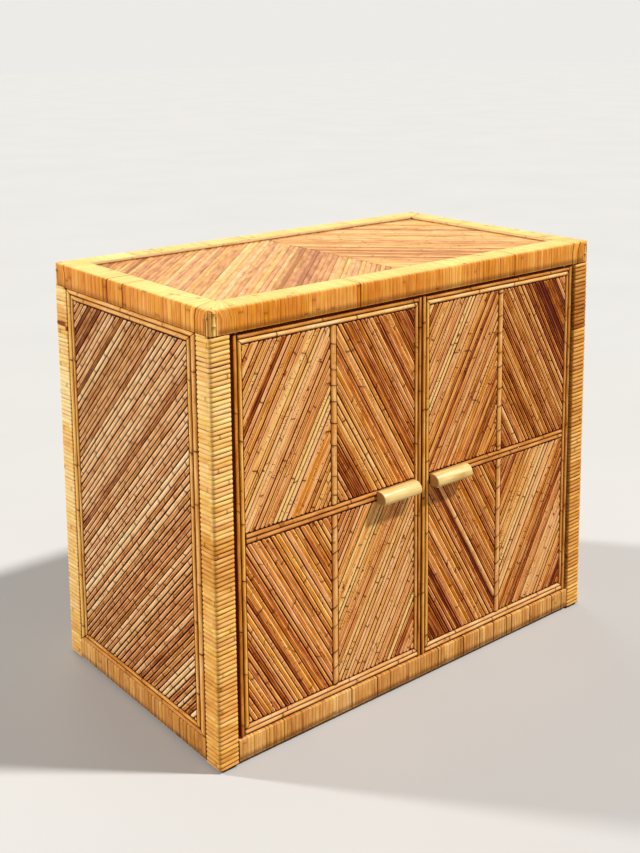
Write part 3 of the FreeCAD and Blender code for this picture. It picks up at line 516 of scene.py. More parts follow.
def close_finish(tree, colour, roughness, height=None, depth=1.0, **fixed):
    """The surface shader, with a relief of depth metres and fixed values by socket name."""
    inputs = {"Base Color": colour, "Roughness": roughness}
    if height is not None:
        inputs["Normal"] = add(tree, "Bump", {"Height": height, "Distance": depth})
    inputs.update({key.replace("_", " "): value for key, value in fixed.items()})
    shader = add(tree, "BsdfPrincipled", inputs)
    add(tree, "OutputMaterial", {"Surface": shader})


def spread(stops):
    """Colours at even steps of a ramp."""
    return [(i / (len(stops) - 1), code) for i, code in enumerate(stops)]


def cane(name, golden, ruddy, groove, knot, fibre_wide=0.7, cloud=0.9, streak=0.8, knots=0.75, lines=0.0,
         scars=0.8, dark_edge=0.9, edge_from=0.7, edge_full=1.0, crown_wear_and_highlight=0.2, shoulder_wear_and_highlight=0.0, rough=0.36,
         faded_and_lit_top=None):
    """Rattan cane under old clear lacquer, as split reed, half-round bead or peel.

    Each strip is somewhere between golden and ruddy, and drifts along its length. Fibres fibre_wide mm apart
    run with it and knots ring it. Its crown or its shoulders are drawn paler, as rub wear and as a painted
    highlight, and its sides darker, as grime and as painted shade in the grooves. Given stops for the top,
    what faces up is paler, as sun fading and as painted light from above.
    """
    finish, tree = new_finish(name)
    fibre = add(tree, "Attribute", attribute_name="fibre").outputs["Vector"]
    habit = add(tree, "SeparateXYZ", {0: add(tree, "Attribute", attribute_name="habit").outputs["Vector"]})
    tone, passed, edge = habit.outputs
    number = add(tree, "SeparateXYZ", {0: fibre}).outputs[2]
    # clouds, fibres, crooked scars and dark joints of fibres: mm along, mm across, how canes differ, detail
    patterns = [(45, 9, 3.1, 2.0), (28, fibre_wide, 7.7, 3.0), (10, 15, 5.3, 0.5), (120, 1.6, 9.1, 1.0)]
    noises = []
    for long, wide, differ, detail in patterns[:4 if lines else 3]:
        scaled = add(tree, "VectorMath", {0: fibre, 1: (1 / (long * MM), 1 / (wide * MM), differ)},
                     operation="MULTIPLY")
        noises.append(add(tree, "TexNoise", {"Vector": scaled, "Scale": 1.0, "Detail": detail}))
    cloudy, fibres, marked = noises[:3]
    drifted = add(tree, "Math", {0: cloudy, 1: cloud, 2: tone}, operation="MULTIPLY_ADD")
    streaked = add(tree, "Math", {0: fibres, 1: streak, 2: drifted}, operation="MULTIPLY_ADD")
    # the crown is drawn paler and the sides darker, as rub wear and as a painted highlight across the round
    # strip
    worn_and_highlit = add(tree, "Math", {0: edge, 1: -crown_wear_and_highlight, 2: streaked}, operation="MULTIPLY_ADD")
    # the shoulders are drawn paler, as rub wear and as a painted highlight along each strip
    if shoulder_wear_and_highlight:
        rubbed = add(tree, "ValToRGB", {0: edge},
                     stops=[(0.3, "#000000"), (0.46, "#ffffff"), (0.56, "#ffffff"), (0.7, "#000000")])
        worn_and_highlit = add(tree, "Math", {0: rubbed, 1: shoulder_wear_and_highlight, 2: worn_and_highlit}, operation="MULTIPLY_ADD")
    level = add(tree, "Math", {0: worn_and_highlit, 1: (cloud + streak - crown_wear_and_highlight) / 2}, operation="SUBTRACT")
    own_place = add(tree, "Math", {0: number, 1: 1.37}, operation="MULTIPLY")
    own = add(tree, "TexNoise", {"W": own_place, "Scale": 1.0, "Detail": 0.0}, noise_dimensions="1D")
    mixed = add(tree, "Math", {0: cloudy.outputs[1], 1: 0.6, 2: own}, operation="MULTIPLY_ADD")
    redness = add(tree, "MapRange", {0: mixed, 1: 0.55, 2: 1.05})
    colour, red = (add(tree, "ValToRGB", {0: level}, stops=spread(codes)) for codes in (golden, ruddy))
    layers = [(redness, red)]
    # a knot's ring is one to two millimetres wide and crooked, with a stained stretch either side
    apart = add(tree, "Math", {0: passed, 1: 0.5}, operation="PINGPONG")
    broken = add(tree, "Math", {0: marked, 1: 0.16, 2: apart}, operation="MULTIPLY_ADD")
    ring = add(tree, "MapRange", {0: broken, 1: 0.14, 2: 0.18, 3: knots, 4: 0.0})
    halo = add(tree, "MapRange", {0: apart, 1: 0.0, 2: 0.4, 3: 0.3, 4: 0.0})
    scar = add(tree, "Math", {0: marked, 1: 0.53, 2: 0.016}, operation="COMPARE")
    group = add(tree, "SeparateXYZ", {0: cloudy.outputs[1]})
    shown = add(tree, "MapRange", {0: group.outputs[2], 1: 0.5, 2: 0.58, 3: 0.0, 4: scars})
    mark = add(tree, "Math", {0: scar, 1: shown}, operation="MULTIPLY")
    # the sides are drawn towards the groove colour, as grime and as painted shade in the grooves between
    # strips
    grime_and_shade = add(tree, "MapRange", {0: edge, 1: edge_from, 2: edge_full, 3: 0.0, 4: dark_edge},
               interpolation_type="SMOOTHSTEP")
    if faded_and_lit_top:
        # what faces up is paler, as sun fading and as painted light from above, and its painted groove shade
        # and dark lines are weaker there
        up = add(tree, "SeparateXYZ", {0: add(tree, "TexCoord").outputs["Normal"]}).outputs[2]
        faded_and_lit = add(tree, "MapRange", {0: up, 1: 0.45, 2: 0.95})
        layers.append((faded_and_lit, add(tree, "ValToRGB", {0: level}, stops=spread(faded_and_lit_top))))
        less_dark_on_top = add(tree, "MapRange", {0: up, 1: 0.45, 2: 0.95, 3: 1.0, 4: 0.35})
        grime_and_shade = add(tree, "Math", {0: grime_and_shade, 1: less_dark_on_top}, operation="MULTIPLY")
    if lines:
        line = add(tree, "MapRange", {0: noises[3], 1: 0.42, 2: 0.34, 3: 0.0, 4: lines})
        if faded_and_lit_top:
            line = add(tree, "Math", {0: line, 1: less_dark_on_top}, operation="MULTIPLY")
        layers.append((line, linear(knot)))
    layers += [(halo, linear(knot)), (mark, linear(knot)), (ring, linear(knot)), (grime_and_shade, linear(groove))]
    for mask, over in layers:
        colour = add(tree, "Mix", {0: mask, MIX_A: colour, MIX_B: over}, data_type="RGBA").outputs[MIX_OUT]
    gloss = add(tree, "MapRange", {0: fibres, 1: 0.3, 2: 0.7, 3: rough - 0.08, 4: rough + 0.12})
    sunk = add(tree, "Math", {0: ring, 1: -1.2, 2: fibres}, operation="MULTIPLY_ADD")
    close_finish(tree, colour, gloss, sunk, 0.0002, IOR=1.5, Specular_IOR_Level=0.07)
    return finish


# Split reed: the cane's inner wood, half-round, lacquered; its shoulders are drawn paler, as rub wear and as
# a painted highlight.
door_reed = cane("lacquered_split_reed", ["#641c00", "#a65002", "#da801e", "#f3a23e", "#ffd07c"],
                 ["#4c1206", "#883810", "#be642a", "#e4904a", "#fdc084"], "#641c00", "#5a1600", knots=0.8,
                 scars=0.85, dark_edge=0.94, edge_from=0.5, edge_full=0.88, crown_wear_and_highlight=0.1, shoulder_wear_and_highlight=0.5)
side_reed = cane("lacquered_split_reed_of_sides", ["#662802", "#a85e16", "#dc944a", "#f7be78", "#ffe0aa"],
                 ["#5a2004", "#944a1a", "#cc7c40", "#efaa6e", "#fed09a"], "#4c1200", "#561800", cloud=1.0,
                 dark_edge=0.96, edge_from=0.5, edge_full=0.86, knots=0.85, scars=0.6, crown_wear_and_highlight=0.1,
                 shoulder_wear_and_highlight=0.4)
# Reeds of the top: paler than the others, as sun fading and as painted light on the brightly lit top.
top_reed = cane("paled_split_reed_of_top", ["#a46a2e", "#c68e48", "#daaa5e", "#e8be70", "#f2d484"],
                ["#985a38", "#b8784c", "#cc9260", "#daaa76", "#e8c08a"], "#6e340c", "#864418",
                cloud=1.1, dark_edge=0.4, edge_from=0.8, knots=0.45, scars=0.4, crown_wear_and_highlight=0.05)
# Half-round bead: the same cane split once, so thicker, with its knots left on.
bead_cane = cane("lacquered_half_round_cane", ["#803a02", "#be7016", "#e89c3a", "#fcc262", "#ffe6a8"],
                 ["#6a2a06", "#a65a1e", "#d68c44", "#f4b670", "#fee0b2"], "#4a1000", "#5c1c02", cloud=0.7,
                 streak=0.6, knots=0.85, scars=0.5, edge_from=0.62, dark_edge=0.95)
# Peel: the cane's hard shiny bark, flat and springy; wound wet and lacquered, it shows fine straight grain.
post_peel = cane("wound_rattan_peel", ["#8c4604", "#c27c1e", "#e8a648", "#fbcc6c", "#ffe8a0"],
                 ["#7c3604", "#b2681e", "#da9444", "#f4b86a", "#feda9a"], "#581a00", "#743c0a",
                 fibre_wide=0.9, cloud=0.5, streak=0.55, knots=0.5, scars=0.15, rough=0.33, edge_from=0.64,
                 dark_edge=0.9)
# its tops are drawn paler, as sun fading and as painted light from above
rail_peel = cane("bound_rattan_peel", ["#a04e06", "#cc740c", "#ea962c", "#fab450", "#ffd07c"],
                 ["#7c3204", "#b45a10", "#da802a", "#f29e4c", "#febe72"], "#4a1000", "#6a2802",
                 fibre_wide=1.1, cloud=0.5, streak=0.75, knots=0.3, lines=0.3, scars=0.0, rough=0.33,
                 dark_edge=0.85, edge_from=0.74, crown_wear_and_highlight=0.1,
                 faded_and_lit_top=["#b48e48", "#ccaa5e", "#dabe6a", "#e4ca78", "#eedc8c"])
foot_peel = cane("bound_rattan_peel_of_foot_rails", ["#864a10", "#b4742a", "#da9844", "#f0b662", "#fdd28a"],
                 ["#6a300a", "#9e5a1a", "#c8803c", "#e0a05c", "#f6c482"], "#481402", "#622a06",
                 fibre_wide=0.9, cloud=0.6, streak=0.8, knots=0.3, lines=0.35, scars=0.15, rough=0.38,
                 dark_edge=0.85, edge_from=0.68, crown_wear_and_highlight=0.15)
paled_peel = cane("sun_paled_peel_lining", ["#c8a468", "#d8b87c", "#e6ca90", "#f0d8a4", "#f8e6bc"],
                  ["#be9464", "#d0a878", "#deba8c", "#eaca9e", "#f4dab4"], "#8a5a30", "#9c6c3c",
                  cloud=0.4, streak=0.4, knots=0.4, scars=0.3, dark_edge=0.4)


def turned_boards(axis):
    """Rotary-cut plywood under brown stain: long grain on its faces, and on edges across axis its plies."""
    finish, tree = new_finish("stained_plywood_" + axis)
    coordinates = add(tree, "TexCoord")
    place, normal = coordinates.outputs["Object"], coordinates.outputs["Normal"]
    across = {"x": 0, "y": 1, "z": 2}[axis]
    stretch = [1 / 0.010] * 3
    stretch[0 if axis == "z" else 2] = 1 / 0.24
    grain_place = add(tree, "VectorMath", {0: place, 1: tuple(stretch)}, operation="MULTIPLY")
    grain = add(tree, "TexNoise", {"Vector": grain_place, "Scale": 1.0, "Detail": 4.0, "Distortion": 0.4})
    pores_place = add(tree, "VectorMath", {0: grain_place, 1: (11.0, 11.0, 11.0)}, operation="MULTIPLY")
    pores = add(tree, "TexNoise", {"Vector": pores_place, "Scale": 1.0, "Detail": 2.0})
    mixed = add(tree, "Math", {0: pores, 1: 0.35, 2: grain}, operation="MULTIPLY_ADD")
    face = add(tree, "ValToRGB", {0: mixed},
               stops=[(0.36, "#6b4122"), (0.58, "#8d5a31"), (0.72, "#a87040"), (0.9, "#bd8652")])
    # plies 1.6 mm thick, drawn light and dark in turn
    layer = add(tree, "SeparateXYZ", {0: place})
    plies = add(tree, "Math", {0: layer.outputs[across], 1: 0.0016}, operation="PINGPONG")
    ply = add(tree, "ValToRGB", {0: add(tree, "MapRange", {0: plies, 1: 0.0006, 2: 0.001})},
              stops=[(0, "#6e4526"), (1, "#b98a5a")])
    turned_to = add(tree, "SeparateXYZ", {0: normal}).outputs[across]
    facing = add(tree, "Math", {0: turned_to}, operation="ABSOLUTE")
    on_face = add(tree, "MapRange", {0: facing, 1: 0.6, 2: 0.8})
    colour = add(tree, "Mix", {0: on_face, MIX_A: ply, MIX_B: face}, data_type="RGBA")
    gloss = add(tree, "MapRange", {0: grain, 1: 0.3, 2: 0.7, 3: 0.5, 4: 0.62})
    close_finish(tree, colour.outputs[MIX_OUT], gloss, mixed, 0.00025, IOR=1.5)
    return finish


def sawn_pine():
    """Planed pine: pale, with brown rings seen as stripes along each cleat."""
    finish, tree = new_finish("planed_pine")
    place = add(tree, "TexCoord").outputs["Object"]
    noise = add(tree, "TexNoise", {"Vector": place, "Scale": 9.0, "Detail": 3.0})
    moved = add(tree, "VectorMath", {0: noise.outputs["Color"], 1: (0.012, 0.012, 0.012), 2: place},
                operation="MULTIPLY_ADD")
    rings = add(tree, "TexWave", {"Vector": moved, "Scale": 1 / 0.020, "Detail": 1.0}, bands_direction="Z")
    colour = add(tree, "ValToRGB", {0: rings.outputs["Fac"]},
                 stops=[(0, "#b98650"), (0.5, "#d8ae74"), (1, "#e8c78f")])
    close_finish(tree, colour, 0.6, rings.outputs["Fac"], 0.0002, IOR=1.5)
    return finish


def bare_handle_wood():
    """Pale close-grained hardwood, sanded and waxed: faint long grain, and browner end grain in rings."""
    finish, tree = new_finish("waxed_pale_hardwood")
    coordinates = add(tree, "TexCoord")
    place = coordinates.outputs["Object"]
    long_way = add(tree, "VectorMath", {0: place, 1: (1 / 0.05, 1 / 0.0022, 1 / 0.0022)},
                   operation="MULTIPLY")
    grain = add(tree, "TexNoise", {"Vector": long_way, "Scale": 1.0, "Detail": 3.0})
    cloudy = add(tree, "TexNoise", {"Vector": place, "Scale": 1 / 0.03, "Detail": 1.0})
    mixed = add(tree, "Math", {0: cloudy, 1: 0.4, 2: grain}, operation="MULTIPLY_ADD")
    side = add(tree, "ValToRGB", {0: mixed},
               stops=[(0.45, "#c4964c"), (0.6, "#d9b064"), (0.75, "#e8c57a"), (0.95, "#f2d694")])
    rings = add(tree, "TexWave", {"Vector": place, "Scale": 1 / 0.009, "Distortion": 1.5, "Detail": 2.0},
                wave_type="RINGS", rings_direction="X")
    end = add(tree, "ValToRGB", {0: rings.outputs["Fac"]}, stops=[(0, "#a67c44"), (1, "#cfa566")])
    turned_to = add(tree, "SeparateXYZ", {0: coordinates.outputs["Normal"]}).outputs["X"]
    facing = add(tree, "Math", {0: turned_to}, operation="ABSOLUTE")
    on_end = add(tree, "MapRange", {0: facing, 1: 0.75, 2: 0.95})
    colour = add(tree, "Mix", {0: on_end, MIX_A: side, MIX_B: end}, data_type="RGBA")
    close_finish(tree, colour.outputs[MIX_OUT], 0.45, grain, 0.00012, IOR=1.5)
    return finish


def plated(name, bright, dull, rough):
    """A thin plated or rolled metal part, with a faint cloud and fine scratches of handling."""
    finish, tree = new_finish(name)
    place = add(tree, "TexCoord").outputs["Object"]
    clouds = add(tree, "TexNoise", {"Vector": place, "Scale": 1 / 0.006, "Detail": 3.0})
    colour = add(tree, "ValToRGB", {0: clouds}, stops=[(0.35, dull), (0.65, bright)])
    long_way = add(tree, "VectorMath", {0: place, 1: (1 / 0.02, 1 / 0.0004, 1 / 0.0004)},
                   operation="MULTIPLY")
    lines = add(tree, "TexNoise", {"Vector": long_way, "Scale": 1.0})
    gloss = add(tree, "MapRange", {0: lines, 1: 0.3, 2: 0.7, 3: rough - 0.07, 4: rough + 0.1})
    close_finish(tree, colour, gloss, lines, 0.00002, Metallic=1.0)
    return finish


def moulded(name, code, pale):
    """Moulded ABS with the fine spark texture of its mould, about 0.4 mm."""
    finish, tree = new_finish(name)
    place = add(tree, "TexCoord").outputs["Object"]
    texture = add(tree, "TexNoise", {"Vector": place, "Scale": 1 / 0.0004})
    rubbed = add(tree, "TexNoise", {"Vector": place, "Scale": 1 / 0.008})
    colour = add(tree, "ValToRGB", {0: rubbed}, stops=[(0.4, code), (0.7, pale)])
    close_finish(tree, colour, 0.45, texture, 0.00004, IOR=1.53)
    return finish


plywood = {axis: turned_boards(axis) for axis in "xyz"}
pine = sawn_pine()
handle_wood = bare_handle_wood()
zinc = plated("zinc_plated_steel", "#c9ccd0", "#a9adb1", 0.32)
brass = plated("rolled_brass", "#d9b45c", "#b8903c", 0.3)
brown_abs = moulded("brown_moulded_abs", "#4a2f1c", "#5a3b25")

# Doors ---------------------------------------------------------------------------------------------

door_face_y = box_mm("door_left_board")[0][1]
door_face = Face((0, door_face_y, 0), (1, 0, 0), (0, 0, 1), (0, -1, 0))
# How pale each mat is, left half then right half; the reeds lean as the beads of a kite would.
# the halves whose reeds rise to the right are paler than the others, partly as painted light that falls along
# their reeds
MOODS = {"left": {"upper": (0.76, 0.51), "lower": (0.56, 0.82)},
         "right": {"upper": (0.57, 0.32), "lower": (0.46, 0.56)}}
# How pale each bead is, in the order low, right, top, left.
# the low beads and the inner top beads are paler, partly as painted light from above; the outer top bead is
# darker, partly as painted shadow of the top frame
BEAD_MOODS = {"left": {"outer_beads": (0.68, 0.34, 0.42, 0.26), "inner_beads": (0.76, 0.54, 0.72, 0.60)},
              "right": {"outer_beads": (0.68, 0.30, 0.42, 0.56), "inner_beads": (0.76, 0.58, 0.72, 0.60)}}
CROSS_MOOD, STILE_MOOD = 0.44, 0.6
STILE_EDGE, STILE_KNOTS, STILE_FULL = 0.6, 38, 0.7       # the stile's bead is a knottier cane, and flatter


def body_of(side):
    return "door_" + side


def dress_door(side):
    name = "door_%s_" % side
    stile, stile_crown = door_face.rect(name + "stile_bead")
    for level in ("upper", "lower"):
        node = name + "reeds_" + level
        field, crown = door_face.rect(node)
        lean = REED_LEAN["door"] if level == "upper" else 180 - REED_LEAN["door"]
        work = Work()
        halves = ((field[0], stile[0], lean), (stile[2], field[2], 180 - lean))
        for (u0, u1, half_lean), mood in zip(halves, MOODS[side][level]):
            reed_mat(work, door_face, (u0, field[1], u1, field[3]), half_lean, REED_WIDE["door"], mood,
                     crown, short=1.2, fullness=0.95)
        work.piece(name + "split_reeds_" + level, body_of(side), "split_reed", door_reed, node)
    outer, outer_crown = door_face.rect(name + "outer_beads")
    inner, inner_crown = door_face.rect(name + "inner_beads")
    reeds, _ = door_face.rect(name + "reeds_upper", name + "reeds_lower")
    for node, lay, outside, inside, crown in (
            ("outer_beads", butted_frame, outer, inner, outer_crown),
            ("inner_beads", bead_frame, inner, reeds, inner_crown)):
        work = Work()
        lay(work, door_face, outside, inside, crown, BEAD_MOODS[side][node])
        work.piece(name + node + "_cane", body_of(side), "half_round_bead", bead_cane, name + node)
    (u0, v0, u1, v1), crown = door_face.rect(name + "cross_beads")
    work = Work()
    for low, high in ((v0, (v0 + v1) / 2), ((v0 + v1) / 2, v1)):
        lay_bead(work, door_face, corners_of(u0, low, u1, high), (u0, (low + high) / 2), (1, 0), high - low,
                 crown, CROSS_MOOD)
    work.piece(name + "cross_beads_cane", body_of(side), "half_round_bead", bead_cane, name + "cross_beads")
    work = Work()
    for low, high in ((stile[1], v0), (v1, stile[3])):
        start = ((stile[0] + stile[2]) / 2, low)
        lay_strip(work, door_face, corners_of(stile[0], low, stile[2], high), start, (0, 1),
                  stile[2] - stile[0], STILE_EDGE, stile_crown, STILE_MOOD, STILE_KNOTS, STILE_FULL)
    work.piece(name + "stile_bead_cane", body_of(side), "half_round_bead", bead_cane, name + "stile_bead")
    dress_handle(side)


UPPER_ROUND, LOWER_ROUND, END_ROUND = 14.0, 8.0, 2.2      # radii of a handle's edges
HANDLE_HEART = 0.45           # its ends draw in towards this share of its depth


def dress_handle(side):
    """A short planed bar, well rounded above and less below, with its flat back on the cross beads."""
    node = "door_%s_handle" % side
    low, high = box_mm(node)
    tall, deep = high[2] - low[2], high[1] - low[1]
    outline = [(0, -tall / 2)]
    for radius, way in ((LOWER_ROUND, -1), (UPPER_ROUND, 1)):
        turn = np.linspace(-math.pi / 2, 0, 12) if way < 0 else np.linspace(0, math.pi / 2, 16)
        outline += [(deep - radius + radius * math.cos(t), way * (tall / 2 - radius) + radius * math.sin(t))
                    for t in turn]
    outline = np.array(outline + [(0, tall / 2)])
    centre = np.array((HANDLE_HEART * deep, 0))
    sections = [(END_ROUND * (1 - math.cos(quarter)), END_ROUND * (1 - math.sin(quarter)))
                for quarter in np.linspace(0, math.pi / 2, 6)]
    sections += [((high[0] - low[0]) - place, inset) for place, inset in sections[::-1]]
    rings = []
    way = outline - centre
    size = np.linalg.norm(way, axis=1, keepdims=True)
    for place, inset in sections:
        shape = centre + way * (1 - inset / size)
        shape[:, 0] = np.where(outline[:, 0] <= 0, 0, shape[:, 0])
        rings.append(np.stack([np.full(len(shape), low[0] + place), high[1] - shape[:, 0],
                               (low[2] + high[2]) / 2 + shape[:, 1]], -1))
    work = Work()
    work.skin(np.array(rings), (0, 0, 0), (0, 0, 0))
    work.piece(node + "_bar", body_of(side), "pale_wood", handle_wood, node)


for side in ("left", "right"):
    dress_door(side)

# Sides and top -------------------------------------------------------------------------------------

SIDE_LEVEL, SIDE_UPRIGHT = 9.0, 15.0     # width of the outer beads of a side
SIDE_MOOD, SIDE_KNOTS = (0.62, 0.48), 60
SIDE_OUTER_MOODS, SIDE_INNER_MOODS = (0.45, 0.6, 0.62, 0.6), (0.5, 0.66, 0.66, 0.66)
TOP_MOOD = 0.5
for side, way in (("left", -1), ("right", 1)):
    board_low, board_high = box_mm("side_board_" + side)
    face_x = board_low[0] if side == "left" else board_high[0]
    side_face = Face((face_x, 0, 0), (0, way, 0), (0, 0, 1), (way, 0, 0))
    field, crown = side_face.rect("side_reeds_" + side)
    outside, bead_crown = side_face.rect("side_beads_" + side)
    work = Work()
    lean = REED_LEAN["side"] if side == "left" else 180 - REED_LEAN["side"]
    reed_mat(work, side_face, field, lean, REED_WIDE["side"], SIDE_MOOD, crown, short=1.0, fullness=1.0,
             apart=SIDE_KNOTS, joint_from=0.85)
    work.piece("side_split_reeds_" + side, "carcass", "split_reed", side_reed, "side_reeds_" + side)
    middle = (outside[0] + SIDE_UPRIGHT, outside[1] + SIDE_LEVEL, outside[2] - SIDE_UPRIGHT,
              outside[3] - SIDE_LEVEL)
    work = Work()
    bead_frame(work, side_face, outside, middle, bead_crown, SIDE_OUTER_MOODS)
    bead_frame(work, side_face, middle, field, bead_crown, SIDE_INNER_MOODS)
    work.piece("side_beads_cane_" + side, "carcass", "half_round_bead", bead_cane, "side_beads_" + side)

top_face_z = box_mm("top_board")[1][2]
top_face = Face((0, 0, top_face_z), (1, 0, 0), (0, 1, 0), (0, 0, 1))
for side in ("left", "right"):
    field, crown = top_face.rect("top_reeds_" + side)
    lean = REED_LEAN["top"] if side == "left" else 180 - REED_LEAN["top"]
    work = Work()
    reed_mat(work, top_face, field, lean, REED_WIDE["top"], TOP_MOOD, crown, short=2.5, fullness=0.45)
    work.piece("top_split_reeds_" + side, "carcass", "split_reed", top_reed, "top_reeds_" + side)

# Posts and rails -----------------------------------------------------------------------------------

ARRIS, EASED = 7.0, 2.0       # radii of a post's outer arris and of its others
# each post's paleness, which of its corners is the cabinet's, and where a turn of its peel is dark
POSTS = {"post_front_left": (0.62, 0, ()), "post_front_right": (0.48, 1, ()),
         "post_rear_left": (0.76, 3, (650,)), "post_rear_right": (0.6, 2, ())}
for node, (mood, outer_corner, dark) in POSTS.items():
    low, high = box_mm(node)
    radii = [EASED + POST_CROWN] * 4
    radii[outer_corner] = ARRIS
    work = Work()
    wind_post(work, low, high, radii, PEEL_WIDE["post"], mood, dark)
    work.piece(node + "_wound_peel", "carcass", "rattan_peel_wrap", post_peel, node)

# which way u runs along each rail, and w from its outside inwards
RAIL_WAYS = {"front": ((1, 0, 0), (0, 1, 0)), "rear": ((1, 0, 0), (0, -1, 0)),
             "left": ((0, 1, 0), (1, 0, 0)), "right": ((0, 1, 0), (-1, 0, 0))}


def straight(place):
    """Where a loop's inner side lies on a rail cut square: right behind its outer side."""
    return place


RING_TOP_ROUND = 5.0
RING_RADII, FOOT_RADII = (1.5, 1.5, 2.0, RING_TOP_ROUND), (2.0, 1.5, 1.5, 2.0)
ring_low, ring_high = box_mm("top_rail_front")
left_low, left_high = box_mm("top_rail_left")
width, depth = ring_high[0] - ring_low[0], left_high[1] - left_low[1]
front_deep, side_deep = ring_high[1] - ring_low[1], left_high[0] - left_low[0]
ring_tall = ring_high[2] - ring_low[2]

CORNER_BARE = 15.0            # the frame's outer face is unbound this near a corner, where ties go over it
FAN_SPARE = 16.0              # how far past the inner corner the peels still fan


def fanned(long, corner):
    """Where a loop's inner side lies on a mitred rail.

    Near a corner of the frame the peels fan out from its inner corner, corner mm from the rail's end.
    """
    zone = corner + FAN_SPARE
    fan = zone - CORNER_BARE

    def inner_place(outer):
        near = corner + np.clip(outer - CORNER_BARE, 0, fan) / fan * FAN_SPARE
        far = long - corner - np.clip(long - CORNER_BARE - outer, 0, fan) / fan * FAN_SPARE
        return np.where(outer < zone, near, np.where(outer > long - zone, far, outer))
    return inner_place


def round_arrises(work):
    """Draw the bands in to the rounded upright corners of the top frame."""
    centre_x, low_y, high_y = width / 2 - ARRIS, ring_low[1] + ARRIS, left_high[1] - ARRIS
    for i, points in enumerate(work.points):
        flat = points[:, :2] / MM
        beyond = np.stack([np.abs(flat[:, 0]) - centre_x,
                           np.maximum(low_y - flat[:, 1], flat[:, 1] - high_y)], -1)
        size = np.linalg.norm(beyond, axis=1)
        out = (beyond > 0).all(1) & (size > ARRIS)
        scale = np.where(out, ARRIS / np.maximum(size, 1e-6), 1)[:, None]
        drawn = beyond * scale
        x = np.sign(flat[:, 0]) * (centre_x + drawn[:, 0])
        y = np.where(flat[:, 1] < (low_y + high_y) / 2, low_y - drawn[:, 1], high_y + drawn[:, 1])
        moved = np.where(out[:, None], np.stack([x, y], -1), flat)
        work.points[i] = np.concatenate([moved * MM, points[:, 2:]], 1)


# where the binding of each rail of the top frame starts, its length and depth, how deep the rails that it
# meets are, how pale it is and its kind of peel
RINGS = {"front": (ring_low[0], ring_low[1], width, front_deep, side_deep, 0.54, "rail"),
         "rear": (ring_low[0], left_high[1], width, front_deep, side_deep, 0.55, "rail"),
         "left": (ring_low[0], left_low[1], depth, side_deep, front_deep, 0.55, "broad"),
         "right": (-ring_low[0], left_low[1], depth, side_deep, front_deep, 0.6, "broad")}
for end, (x, y, long, deep, corner, mood, kind) in RINGS.items():
    u, w = RAIL_WAYS[end]
    face = Face((x, y, ring_low[2]), u, (0, 0, 1), w)
    section = soft_section(deep, ring_tall, RING_RADII, RAIL_SIDE_STEPS)
    inner_place = fanned(long, corner)
    work = Work()
    bind_rail(work, face, long, section, inner_place, mood, PEEL_WIDE[kind], bare=CORNER_BARE,
              narrow=3 if kind == "broad" else 0)
    rail_core(work, face, long, section, inner_place, RING_CORE_IN)
    round_arrises(work)
    work.piece("top_rail_%s_bound_peel" % end, "carcass", "rattan_peel_wrap", rail_peel, "top_rail_" + end)

half_wide, front_in, rear_in = width / 2 - side_deep, ring_high[1], left_high[1] - front_deep
TIE_CROWN, TIE_KNOT = 2.2, 1.2          # height of a tie, and how much a knot swells it
TIE_KNOT_LONG = 0.065         # length of such a knot each way, as a share of the tie's height
TIE_STEPS, BEND_STEPS = 22, 4
TIE_MOOD, TIE_SPREAD = 0.62, 0.1
TIE_BACK = 0.8                # its underside lies this far behind its edges
TIE_SUNK = 2.4                # the ties lie this far inside the frame's rounded corner
TIE_TAIL = 3.0                # and reach this far in over its top
MITRE_TAIL = 9.0              # the one on the arris reaches further, over the end of the mitre
TIE_GRIME_AND_SHADE, TIE_TAIL_GRIME_AND_SHADE = 0.78, 0.15   # how dark their edges are drawn, as grime and as painted shade, upright and bent in over the top
WAD_OUT, WAD_WIDE = 1.5, 8.0  # a flat wad of peel closes the spot on top where the ties run together
WAD_DEEP, WAD_PROUD = 0.8, 0.25
# where each tie stands, in mm round the corner from the side to the front or back, its width and its
# knots' heights as shares of its own
TIES = ((-11.6, 3.4, ()), (-5.3, 5.4, (0.68,)), (0.0, 4.4, ()), (5.6, 6.2, (0.36, 0.84)), (11.5, 4.2, ()))


